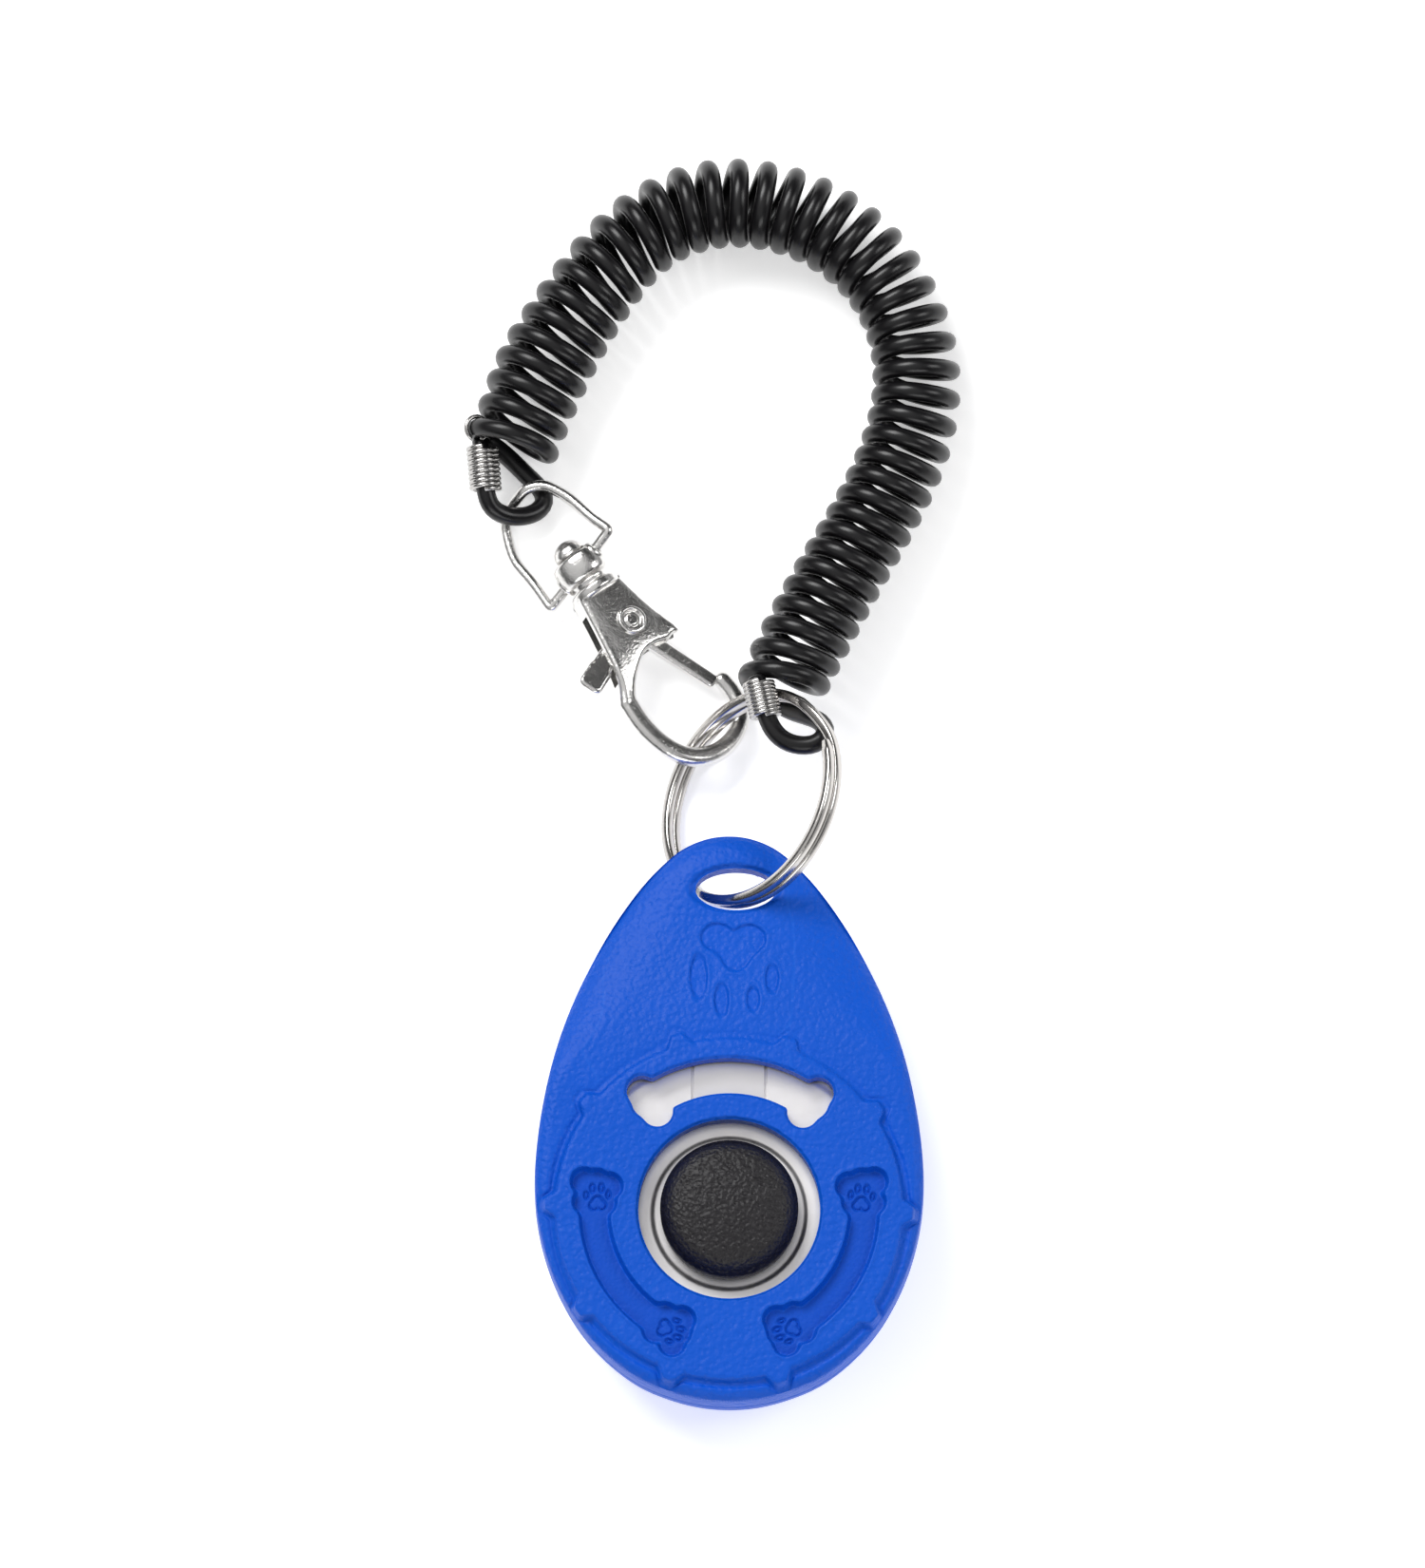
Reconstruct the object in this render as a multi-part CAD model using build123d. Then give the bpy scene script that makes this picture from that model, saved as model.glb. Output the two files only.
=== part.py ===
"""A dog-training clicker with a split ring, a coiled wrist cord and a swivel clasp.

The clicker lies on its flat back. The origin is on the button axis in the plane of the back,
+Z points up through the button face, +Y towards the key-ring end, +X to the right of the face.
All sizes are in millimetres.
"""
from build123d import *
import math
import os

# ---------------------------------------------------------------- driving dimensions
CASE_PART_Z = 9.5          # parting plane between the two shells
CASE_TOP_Z = 14.3          # rim surface round the dial
WALL = 1.8
DIAL_TOP_Z = 14.9          # raised dial surface
DIAL_BASE_Z = 13.4
DIAL_R = 20.0              # dial segments
DIAL_BUMP_R = 21.3         # dial bumps between the segments
DIAL_SEGMENTS = 10
TAB_UNDER_Z = 8.6          # raised underside at the key-ring end
TAB_TOP_Z = 12.3
TAB_SOLID_Y = 29.5         # the hollow stops here, the key-ring end is solid
KEY_HOLE_SIZE = (9.2, 4.9)  # elliptical hole, X by Y
KEY_HOLE_AT = (0.76, 37.5)
BOSS_X, BOSS_Y, BOSS_R = 13.6, 20.6, 1.7   # peg bosses, mirrored in X
JAW_W = 9.0                # jaws that hold the root of the click plate
PEG_R = 0.9
PEG_BORE_R = 0.95

BUTTON_HOLE_R = 10.35
BUTTON_R = 7.87
BUTTON_TOP_Z = 18.2
BUTTON_SKIRT_Z = 12.1
BUTTON_CROWN_R = 24.0      # radius of the domed top
STEM_R = 2.0
STEM_BORE_R = 2.08
STEM_END_Z = 3.2
PLATE_R = 18.9             # click plate
PLATE_T = 0.4
PLATE_Z = 11.2

CORD_R = 1.08
COIL_R = 5.2               # coil of cord, built as one tube
COIL_BORE_R = 3.75
BAIL_R = 0.65              # wire of the D-shaped bail
BARREL_R = 1.5
BARREL_L = 5.0
POST_R = 0.75
CLASP_T = 3.2
HOOK_W = 1.9               # width and thickness of the hook
GATE_T = 1.3
GATE_SLOT_T = GATE_T + 0.24
RIVET_R = 0.8
RIVET_BORE_R = 0.82


# ---------------------------------------------------------------- helpers
def largest_solid(shape):
    solids = shape.solids()
    return solids[0] if len(solids) == 1 else max(solids, key=lambda solid: solid.volume)


def column(radius, low, high, x=0, y=0):
    """An upright cylinder between two heights."""
    return Pos(x, y, (low + high) / 2) * Cylinder(radius, high - low)


def rod(start, end, radius):
    start, end = Vector(*start), Vector(*end)
    along = end - start
    return Solid.make_cylinder(radius, along.length, Plane(origin=start, z_dir=along))


def wire_sweep(points, radius):
    """Round wire along a spline."""
    path = Spline(*points)
    section = Plane(origin=path @ 0, z_dir=path % 0) * Circle(radius)
    return largest_solid(sweep(section, path=path))


def prism_x(yz_points):
    """A polygon in the YZ plane, extruded across the whole width."""
    face = Plane.YZ * make_face(Polyline(*yz_points, close=True))
    return extrude(face, amount=30, both=True)


# ---------------------------------------------------------------- casing outline
# Egg outline: Y, half width
HALF_WIDTHS = [
    (43.89, 0.0), (43.6, 2.45), (42.34, 5.39), (39.68, 8.43), (37.02, 10.7), (33.03, 13.44),
    (29.04, 15.67), (25.05, 17.6), (21.06, 19.12), (17.07, 20.3), (13.07, 21.18), (9.08, 21.82),
    (4.43, 22.2), (-0.23, 21.98), (-4.22, 21.2), (-8.21, 19.85), (-12.2, 17.75), (-14.86, 15.75),
    (-17.52, 13.0), (-19.52, 10.1), (-20.85, 6.95), (-21.75, 3.6), (-22.07, 0.0),
]
OUTLINE = [(x, y) for y, x in HALF_WIDTHS] + [(-x, y) for y, x in HALF_WIDTHS[-2:0:-1]]

# Outside of the back shell: Z, inset from the outline
BACK_LEVELS = [(0.0, 4.2), (0.9, 2.4), (2.6, 1.1), (5.6, 0.3), (CASE_PART_Z - 0.02, 0.0)]


def inset_outline(inset):
    """The outline moved inwards along its own normals."""
    moved = []
    for i, (x, y) in enumerate(OUTLINE):
        (x0, y0), (x1, y1) = OUTLINE[i - 1], OUTLINE[(i + 1) % len(OUTLINE)]
        step_x, step_y = x1 - x0, y1 - y0
        length = math.hypot(step_x, step_y)
        moved.append((x + step_y / length * inset, y - step_x / length * inset))
    return moved


def shell_loft(levels):
    """Loft through the outline at each (Z, inset)."""
    wires = [
        Wire([Spline(*[(x, y, z) for x, y in inset_outline(inset)], periodic=True)])
        for z, inset in levels
    ]
    return largest_solid(Solid.make_loft(wires))


def key_hole(low, high):
    width, height = KEY_HOLE_SIZE
    ellipse = Pos(*KEY_HOLE_AT, low) * Ellipse(width / 2, height / 2)
    return extrude(ellipse, amount=high - low)


# ---------------------------------------------------------------- front cover
CUT_TOP_Z = 16.0           # cutters of the face marks end above the dial
BONE_LOBE_R = 1.72
TOP_BONE_R = 15.4          # centre-line radii of the bones
SIDE_BONE_R = 15.5
PAW_SIZE = 1.35
SLOPE_DEG = 6.8            # fall of the face towards the key-ring end
SLOPE_PAW_DEPTH = 0.35

# Small paws on the dial: X, Y, heading of the toes in degrees from +Y towards -X
DIAL_PAWS = [(-15.13, 2.78, 0), (15.3, 2.5, 0), (-6.8, -13.9, 200), (6.7, -13.9, 160)]
# Toes of a paw of size 1: across, forward, radius
PAW_TOES = [(-0.62, 0.35, 0.2), (-0.24, 0.78, 0.22), (0.24, 0.78, 0.22), (0.62, 0.35, 0.2)]
# Large paw on the slope, pad first: X, Y, X radius, Y radius
SLOPE_PAW = [(0, 3.3, 3.3, 2.6), (-3.9, -0.6, 0.95, 2.6), (-1.4, -3.3, 0.8, 1.95),
             (2.0, -3.2, 0.72, 1.5), (4.2, -0.8, 0.75, 1.7)]


def polar(radius, degrees):
    """Angle from +Y, positive towards -X."""
    angle = math.radians(90 + degrees)
    return radius * math.cos(angle), radius * math.sin(angle)


def bone(mid_deg, half_deg, shaft, lobe_offset, low, radius):
    """A bone bent round the dial: an arc band with two lobes at each end."""
    start, end = mid_deg - half_deg, mid_deg + half_deg
    inner, outer = radius - shaft / 2, radius + shaft / 2
    band = make_face([
        ThreePointArc(polar(outer, start), polar(outer, mid_deg), polar(outer, end)),
        Line(polar(outer, end), polar(inner, end)),
        ThreePointArc(polar(inner, end), polar(inner, mid_deg), polar(inner, start)),
        Line(polar(inner, start), polar(outer, start)),
    ])
    tool = extrude(Pos(0, 0, low) * band, amount=CUT_TOP_Z - low)
    for degrees in (start, end):
        for side in (-1, 1):
            x, y = polar(radius + side * lobe_offset, degrees)
            tool = tool + column(BONE_LOBE_R, low, CUT_TOP_Z, x, y)
    return tool


def paw(x, y, heading):
    """A four-toed paw print on the dial."""
    low = DIAL_TOP_Z - 1.12
    cos, sin = math.cos(math.radians(heading)), math.sin(math.radians(heading))
    tool = column(PAW_SIZE * 0.42, low, CUT_TOP_Z, x, y)
    for across, forward, radius in PAW_TOES:
        toe_x = x + across * PAW_SIZE * cos - forward * PAW_SIZE * sin
        toe_y = y + across * PAW_SIZE * sin + forward * PAW_SIZE * cos
        tool = tool + column(PAW_SIZE * radius, low, CUT_TOP_Z, toe_x, toe_y)
    return tool


def make_dial():
    """Raised disc whose rim carries one small bump between each pair of segments."""
    pitch = 360 / DIAL_SEGMENTS
    points = []
    for i in range(120):
        degrees = i * 3.0                               # from -Y
        from_bump = abs(degrees % pitch - pitch / 2)
        rise = 1.0 if from_bump < 2 else 0.5 if from_bump < 4 else 0.0
        radius = DIAL_R + (DIAL_BUMP_R - DIAL_R) * rise
        angle = math.radians(-90 + degrees)
        points.append((radius * math.cos(angle), radius * math.sin(angle)))
    face = make_face(Polyline(*points, close=True))
    return extrude(Pos(0, 0, DIAL_BASE_Z) * face, amount=DIAL_TOP_Z - DIAL_BASE_Z)


def make_front_cover():
    front = shell_loft([(CASE_PART_Z, 0.0), (11.6, 0.25), (13.2, 0.75), (14.0, 1.35),
                        (CASE_TOP_Z, 2.0)])
    front = front - prism_x([(20.5, CASE_TOP_Z), (34, 12.7), (46, TAB_TOP_Z), (46, 20),
                             (20.5, 20)])
    # the dial is trimmed where it would overhang the casing
    dial_limit = shell_loft([(CASE_PART_Z, 0.0), (13.2, 0.5), (DIAL_TOP_Z, 0.75)])
    front = front + (make_dial() & dial_limit)

    cavity = shell_loft([(CASE_PART_Z - 0.01, WALL), (12.5, WALL + 0.4)])
    cavity = cavity - prism_x([(TAB_SOLID_Y, 0), (60, 0), (60, 30), (TAB_SOLID_Y, 30)])
    cavity = cavity - prism_x([(22, 12.6), (30, 11.4), (30, 20), (22, 20)])
    front = front - cavity
    front = front - column(BUTTON_HOLE_R, 10, 18)

    front = front - bone(0, 36, 4.1, 1.5, 12, TOP_BONE_R)
    for mid_deg in (118, -118):
        front = front - bone(mid_deg, 34, 3.5, 1.35, DIAL_TOP_Z - 0.9, SIDE_BONE_R)
    for x, y, heading in DIAL_PAWS:
        front = front - paw(x, y, heading)
    # large paw print in the slope, toes towards the button
    slope = math.radians(SLOPE_DEG)
    slope_plane = Plane(origin=(0.6, 27.5, 13.55), x_dir=(1, 0, 0),
                        z_dir=(0, math.sin(slope), math.cos(slope)))
    for x, y, radius_x, radius_y in SLOPE_PAW:
        mark = Pos(0, 0, -SLOPE_PAW_DEPTH) * (Pos(x, y) * Ellipse(radius_x, radius_y))
        front = front - extrude(slope_plane * mark, amount=2)

    front = front - key_hole(6, 20)
    for side in (-1, 1):
        front = front + column(BOSS_R, CASE_PART_Z, 12.7, side * BOSS_X, BOSS_Y)
        front = front - column(PEG_BORE_R, 9.4, 11.8, side * BOSS_X, BOSS_Y)
    # upper jaw
    return front + Pos(0, 26.45, 11.0) * Box(JAW_W, 2.0, 3.0)


# ---------------------------------------------------------------- back cover
def make_back_cover():
    back = shell_loft(BACK_LEVELS)
    # the underside rises to the key-ring end
    back = back - prism_x([(22.5, -1), (22.5, 0), (26, 1.2), (30, 4.0), (33.2, 7.4),
                           (35, TAB_UNDER_Z), (60, TAB_UNDER_Z), (60, -1)])
    well = shell_loft([(WALL, 5.0), (4.0, WALL + 0.9), (CASE_PART_Z + 0.1, WALL)])
    well = well - prism_x([(20.5, 0), (26, 3.4), (TAB_SOLID_Y, 8.0), (TAB_SOLID_Y, 30),
                           (60, 30), (60, 0)])
    back = back - well

    # lip that stands inside the front cover, round the button end only
    lip_outside = shell_loft([(CASE_PART_Z - 1.6, WALL - 0.3), (CASE_PART_Z, WALL + 0.12),
                              (CASE_PART_Z + 0.8, WALL + 0.28)])
    lip_inside = shell_loft([(CASE_PART_Z - 1.7, WALL + 0.55), (CASE_PART_Z + 0.9, WALL + 0.65)])
    lip_extent = prism_x([(-60, 0), (17.0, 0), (17.0, 30), (-60, 30)])
    back = back + ((lip_outside - lip_inside) & lip_extent)

    # guide for the button stem
    back = back + column(4.0, 1.6, 7.2)
    back = back - column(STEM_BORE_R, 1.9, 8.2)
    for side in (-1, 1):
        back = back + column(BOSS_R, 1.6, 9.2, side * BOSS_X, BOSS_Y)
        back = back + column(PEG_R, 8.4, 11.4, side * BOSS_X, BOSS_Y)
    # lower jaw that carries the plate's root
    back = back + Pos(0, 24.0, 6.3) * Box(JAW_W, 2.6, 8.8)
    # below the parting plane nothing may stand outside the shell
    above_parting = Pos(0, 5, CASE_PART_Z + 5) * Box(60, 60, 10.04)
    back = back & (shell_loft(BACK_LEVELS) + above_parting)
    return back - key_hole(4, 12)


# ---------------------------------------------------------------- click plate and button
def make_click_plate():
    """A disc with a root tongue and a slit on each side in front of it."""
    plate = column(PLATE_R, PLATE_Z, PLATE_Z + PLATE_T)
    plate = plate + Pos(0, 21.9, PLATE_Z + PLATE_T / 2) * Box(7.9, 6.2, PLATE_T)
    plate = plate - column(2.35, PLATE_Z - 1, PLATE_Z + 1)
    for side in (-1, 1):
        plate = plate - Pos(side * 4.25, 15.2, PLATE_Z) * Box(0.5, 8.4, 2)
    return plate


def make_button():
    cap = column(BUTTON_R, BUTTON_SKIRT_Z, BUTTON_TOP_Z)
    cap = fillet(cap.edges().sort_by(Axis.Z)[-1], 2.1)
    cap = cap & (Pos(0, 0, BUTTON_TOP_Z - BUTTON_CROWN_R) * Sphere(BUTTON_CROWN_R))
    cap = cap - column(BUTTON_R - 1.5, BUTTON_SKIRT_Z - 0.1, BUTTON_SKIRT_Z + 2.9)
    cap = cap + column(2.9, 11.65, 15.95)
    return cap + column(STEM_R, STEM_END_Z, 14)


# ---------------------------------------------------------------- split ring
RING_OUTER_R = 13.0
RING_BAND = 1.2            # radial thickness of the flattened wire
RING_STACK = 2.4           # two turns high
RING_CENTRE = (2.53, 48.46, 9.85)
RING_TILT_DEG = 47.5       # turn about RING_X_DIR, from RING_FLAT_DIR to RING_STEEP_DIR
RING_X_DIR = Vector(0.4205, 0.8906, 0.1731)
RING_FLAT_DIR = Vector(0.9073, -0.4128, -0.0802)
RING_STEEP_DIR = Vector(0.0, -0.1908, 0.9816)


def make_split_ring():
    tilt = math.radians(RING_TILT_DEG)
    across = RING_FLAT_DIR * math.cos(tilt) + RING_STEEP_DIR * math.sin(tilt)
    ring_plane = Plane(origin=RING_CENTRE, x_dir=RING_X_DIR, z_dir=RING_X_DIR.cross(across))
    mid_r = RING_OUTER_R - RING_BAND / 2
    section = Plane.XZ * RectangleRounded(RING_BAND, RING_STACK / 2 + 0.03, 0.35)
    lower, upper = [
        revolve(Pos(mid_r, 0, side * RING_STACK / 4) * section, axis=Axis.Z) for side in (-1, 1)
    ]
    ring = lower + upper
    # gap at the end of the upper turn
    gap = Pos(mid_r, 0, RING_STACK / 2) * Box(3, 0.5, RING_STACK - 0.1)
    ring = ring - Rot(0, 0, 20) * gap
    return ring_plane * ring


# ---------------------------------------------------------------- wrist coil
# Outer and inner crests of the coil, in pairs from the clasp end to the ring end: X, Y
OUTER_CRESTS = [
    (-29.23, 92.37), (-26.85, 98.3), (-24.46, 103.65), (-21.13, 108.75), (-17.23, 113.91),
    (-12.29, 118.81), (-6.02, 122.16), (0.94, 123.23), (7.72, 122.18), (13.77, 119.48),
    (18.86, 115.18), (22.74, 109.44), (25.09, 102.81), (25.57, 95.95), (24.38, 89.61),
    (22.27, 84.31), (19.88, 79.61), (17.44, 75.17), (15.08, 70.76), (12.83, 66.31),
    (10.62, 61.82),
]
INNER_CRESTS = [
    (-20.54, 89.63), (-18.45, 94.83), (-16.21, 99.62), (-13.77, 104.1), (-10.97, 108.33),
    (-7.58, 112.07), (-3.44, 114.3), (1.13, 114.94), (5.73, 114.17), (9.96, 112.21),
    (13.47, 109.24), (15.96, 105.47), (17.27, 101.13), (17.31, 96.45), (16.21, 91.66),
    (14.36, 86.99), (12.12, 82.59), (9.67, 78.28), (7.17, 73.79), (4.66, 68.86),
    (2.09, 63.22),
]
# Cord from the coil round the bail and back: X, Y, Z
UPPER_LOOP = [
    (-28.9, 93.6, 5.2), (-29.3, 92.7, 3.7), (-28.84, 92.45, 1.95), (-27.64, 91.83, 1.25),
    (-26.12, 90.74, 1.15), (-24.92, 89.63, 1.15), (-23.5, 88.19, 1.15), (-22.2, 86.91, 1.2),
    (-21.33, 85.83, 1.35), (-21.22, 84.56, 1.6), (-22.2, 83.41, 2.1), (-23.94, 82.79, 2.7),
    (-25.9, 82.88, 3.4), (-27.31, 83.61, 4.2), (-27.86, 84.95, 4.7), (-28.13, 87.7, 4.85),
    (-28.36, 90.4, 5.0),
]
# Cord from the coil round the split ring and back: X, Y, Z
LOWER_LOOP = [
    (2.3, 66.0, 6.6), (2.75, 64.0, 5.6), (4.0, 61.9, 5.4), (5.6, 60.2, 6.4), (7.2, 58.95, 8.2),
    (8.9, 58.0, 10.2), (10.5, 57.0, 11.7), (11.1, 55.6, 12.5), (10.1, 54.35, 12.7),
    (8.2, 54.1, 12.55), (6.2, 54.75, 12.45), (4.85, 56.2, 12.45), (4.0, 58.6, 12.45),
    (3.3, 61.2, 12.45),
]
COIL_STEPS = 24
COIL_LOW_Z = 5.3           # the coil lies level, then climbs towards the split ring
COIL_RISE = 3.4


def make_coil_path():
    points = []
    for i, (outer, inner) in enumerate(zip(OUTER_CRESTS, INNER_CRESTS)):
        z = COIL_LOW_Z + COIL_RISE * max(0.0, (2 * i - 27) / 13.0) ** 1.6
        points.append(((outer[0] + inner[0]) / 2, (outer[1] + inner[1]) / 2, z))
    return Spline(*points, tangents=[(0.32, 0.95, 0.0), (-0.17, -0.98, 0.12)])


def lofted_tube(path, radius, stations):
    """Loft circles at fractions of the path; beyond 0 or 1 they carry on straight."""
    rings = []
    for station in stations:
        on_path = min(max(station, 0.0), 1.0)
        along = path % on_path
        centre = path @ on_path + along * ((station - on_path) * path.length)
        plane = Plane(origin=centre, x_dir=Vector(0, 0, 1), z_dir=along)
        rings.append(Wire([Edge.make_circle(radius, plane)]))
    return Solid.make_loft(rings)


def make_coil_cord():
    path = make_coil_path()
    stations = [i / COIL_STEPS for i in range(COIL_STEPS + 1)]
    half = COIL_STEPS // 2
    wall = (lofted_tube(path, COIL_R, stations[:half + 1])
            + lofted_tube(path, COIL_R, stations[half:]))
    # the bore runs past both ends of the wall
    bore = (lofted_tube(path, COIL_BORE_R, [-0.02] + stations[1:half + 1])
            + lofted_tube(path, COIL_BORE_R, stations[half:-1] + [1.02]))
    tube = wall - bore
    return tube + wire_sweep(UPPER_LOOP, CORD_R) + wire_sweep(LOWER_LOOP, CORD_R)


CRIMP_RIDGES = 9
CRIMP_BORE_R = CORD_R + 0.14
CRIMP_ROOT_R = 1.62
CRIMP_CREST_R = 1.95


def make_crimp(start, end):
    """A ridged sleeve round the cord."""
    start, end = Vector(*start), Vector(*end)
    length = (end - start).length
    pitch = length / CRIMP_RIDGES
    edges = [Line((CRIMP_BORE_R, length), (CRIMP_BORE_R, 0)),
             Line((CRIMP_BORE_R, 0), (CRIMP_ROOT_R, 0))]
    for i in range(CRIMP_RIDGES):
        edges.append(ThreePointArc((CRIMP_ROOT_R, i * pitch), (CRIMP_CREST_R, (i + 0.5) * pitch),
                                   (CRIMP_ROOT_R, (i + 1) * pitch)))
    edges.append(Line((CRIMP_ROOT_R, length), (CRIMP_BORE_R, length)))
    body = revolve(Plane.XZ * make_face(edges), axis=Axis.Z)
    return Plane(origin=start, z_dir=end - start) * body


# ---------------------------------------------------------------- bail and swivel
# Bent part of the bail wire, between the ends of its pin: X, Y, Z
BAIL_POINTS = [
    (-20.46, 72.18, 2.0), (-22.63, 75.38, 1.5), (-24.59, 77.9, 1.05), (-25.35, 80.16, 0.85),
    (-25.63, 81.83, 0.8), (-25.46, 83.44, 1.1), (-24.48, 84.83, 1.9), (-23.29, 85.97, 2.9),
    (-21.33, 86.31, 3.4), (-19.48, 85.48, 3.7), (-17.85, 84.31, 4.0), (-15.89, 82.44, 4.5),
    (-13.71, 80.79, 5.0),
]
PIN_START, PIN_END = Vector(*BAIL_POINTS[0]), Vector(*BAIL_POINTS[-1])
PIN_DIR = (PIN_END - PIN_START).normalized()
SWIVEL_AT = (PIN_START + PIN_END) * 0.5
CLASP_X, CLASP_Y = 0.582, -0.813
CLASP_DIR = Vector(CLASP_X, CLASP_Y, 0.0).normalized()   # from the swivel to the hook


def on_swivel(distance):
    """A point on the swivel axis, positive towards the hook."""
    return SWIVEL_AT + CLASP_DIR * distance


def make_bail():
    bail = wire_sweep(BAIL_POINTS, BAIL_R)
    for end, side in ((PIN_START, 1), (PIN_END, -1)):
        bail = bail + Pos(*end) * Sphere(BAIL_R)
        bail = bail + rod(end, SWIVEL_AT - PIN_DIR * (1.35 * side), BAIL_R)
    return bail


def make_swivel_barrel():
    half = PIN_DIR * (BARREL_L / 2)
    barrel = rod(SWIVEL_AT - half, SWIVEL_AT + half, BARREL_R)
    barrel = barrel + rod(SWIVEL_AT, on_swivel(2.25), 1.9)
    for side in (-1, 1):
        barrel = barrel - rod(SWIVEL_AT + PIN_DIR * (side * 1.15),
                              SWIVEL_AT + PIN_DIR * (side * 4.0), BAIL_R + 0.07)
    return barrel - rod(on_swivel(-3), on_swivel(3), POST_R + 0.02)


def make_swivel_post():
    """A post with a domed head on the barrel and a flat head inside the clasp."""
    post = rod(on_swivel(-2.1), on_swivel(5.0), POST_R)
    half_ball = Sphere(1.8) & (Pos(0, 0, 2.5) * Box(8, 8, 5))
    dome = Plane(origin=on_swivel(-2.1), z_dir=CLASP_DIR * -1) * half_ball
    return post + dome + rod(on_swivel(3.95), on_swivel(5.0), 1.3)


# ---------------------------------------------------------------- clasp
RIVET_AT = Vector(-11.69, 69.81, 3.5)
SIDE_DIR = Vector(-CLASP_Y, CLASP_X, -0.36).normalized()
RIVET_DIR = CLASP_DIR.cross(SIDE_DIR).normalized()
CLASP_PLANE = Plane(origin=RIVET_AT, x_dir=CLASP_DIR, z_dir=RIVET_DIR)
TILT_STRETCH = 1.063       # sideways lengths in the tilted clasp against their XY projection

# Centre line of the hook from its root to its tip, over the XY plane
HOOK_LINE = [
    (-11.9, 60.9), (-9.93, 57.9), (-7.9, 55.9), (-5.7, 54.65), (-3.75, 54.35), (-1.55, 55.0),
    (0.2, 56.6), (1.18, 58.8), (1.2, 60.8), (0.25, 62.7), (-0.75, 63.9),
]


def clasp_point(x, y):
    """Clasp-plane coordinates of a point given over the XY plane."""
    x, y = x - RIVET_AT.X, y - RIVET_AT.Y
    return x * CLASP_X + y * CLASP_Y, (x * -CLASP_Y + y * CLASP_X) * TILT_STRETCH


def offset_line(points, offset):
    """Points moved sideways, to the right of the line where the offset is positive."""
    moved = []
    for i, (x, y) in enumerate(points):
        before, after = points[max(i - 1, 0)], points[min(i + 1, len(points) - 1)]
        step_x, step_y = after[0] - before[0], after[1] - before[1]
        length = math.hypot(step_x, step_y)
        moved.append((x + step_y / length * offset, y - step_x / length * offset))
    return moved


def clasp_profile():
    hook = [clasp_point(*point) for point in HOOK_LINE]
    outer = offset_line(hook, HOOK_W / 2)
    inner = offset_line(hook, -HOOK_W / 2)
    (last_x, last_y), (prev_x, prev_y) = hook[-1], hook[-2]
    tip = (last_x + (last_x - prev_x) * 0.55, last_y + (last_y - prev_y) * 0.55)
    # head corners; the rear is the swivel end
    rear_left, front_left = clasp_point(-17.6, 72.3), clasp_point(-12.95, 62.6)
    rear_right, front_right = clasp_point(-13.35, 75.5), clasp_point(-6.1, 69.3)
    throat = [clasp_point(-10.75, 63.6), clasp_point(-10.0, 66.3), clasp_point(-7.3, 68.1)]
    return make_face([
        Line(rear_left, front_left),
        Spline(front_left, *outer[1:]),
        ThreePointArc(outer[-1], tip, inner[-1]),
        Spline(*inner[:0:-1], *throat),
        Line(throat[-1], front_right),
        Line(front_right, rear_right),
        Line(rear_right, rear_left),
    ])


def make_clasp_body():
    face = CLASP_PLANE * (Pos(0, 0, -CLASP_T / 2) * clasp_profile())
    body = extrude(face, amount=CLASP_T, dir=RIVET_DIR)
    # the hook is thinner than the head
    hook_cut_z = HOOK_W / 2 + 3
    body = body - (CLASP_PLANE * (Pos(11.5, 0, hook_cut_z) * Box(13, 30, 6))
                   + CLASP_PLANE * (Pos(11.5, 0, -hook_cut_z) * Box(13, 30, 6)))
    # the largest radius that the kernel can fillet is used; the edges stay sharp if none works
    for radius in (0.55, 0.4, 0.25):
        try:
            body = fillet([edge for edge in body.edges() if edge.length > 2.5], radius)
            break
        except Exception:
            continue
    # collar round the post, with room for the post's flat head
    collar = (rod(on_swivel(2.4), on_swivel(3.7), 2.9)
              + rod(on_swivel(3.5), RIVET_AT - CLASP_DIR * 2.4, 2.2))
    body = body + collar
    body = body - rod(on_swivel(1.5), on_swivel(4.0), POST_R + 0.08)
    body = body - rod(on_swivel(3.8), on_swivel(5.4), 1.45)
    # slot for the gate, then its opening on the thumb side
    body = body - CLASP_PLANE * (Pos(1.0, 0, 0) * Box(8.6, 40, GATE_SLOT_T))
    body = body - CLASP_PLANE * (Pos(6.0, -6, 0) * Box(6, 9, GATE_SLOT_T))
    bore_plane = Plane(origin=RIVET_AT - RIVET_DIR * 4, z_dir=RIVET_DIR)
    return body - bore_plane * column(RIVET_BORE_R, 0, 8)


def gate_bar(angle, reach, length, width, thickness):
    """A box centred at a reach from the rivet and pointing away from it."""
    place = Pos(math.cos(angle) * reach, math.sin(angle) * reach, 0)
    return place * Rot(0, 0, math.degrees(angle)) * Box(length, width, thickness)


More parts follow.
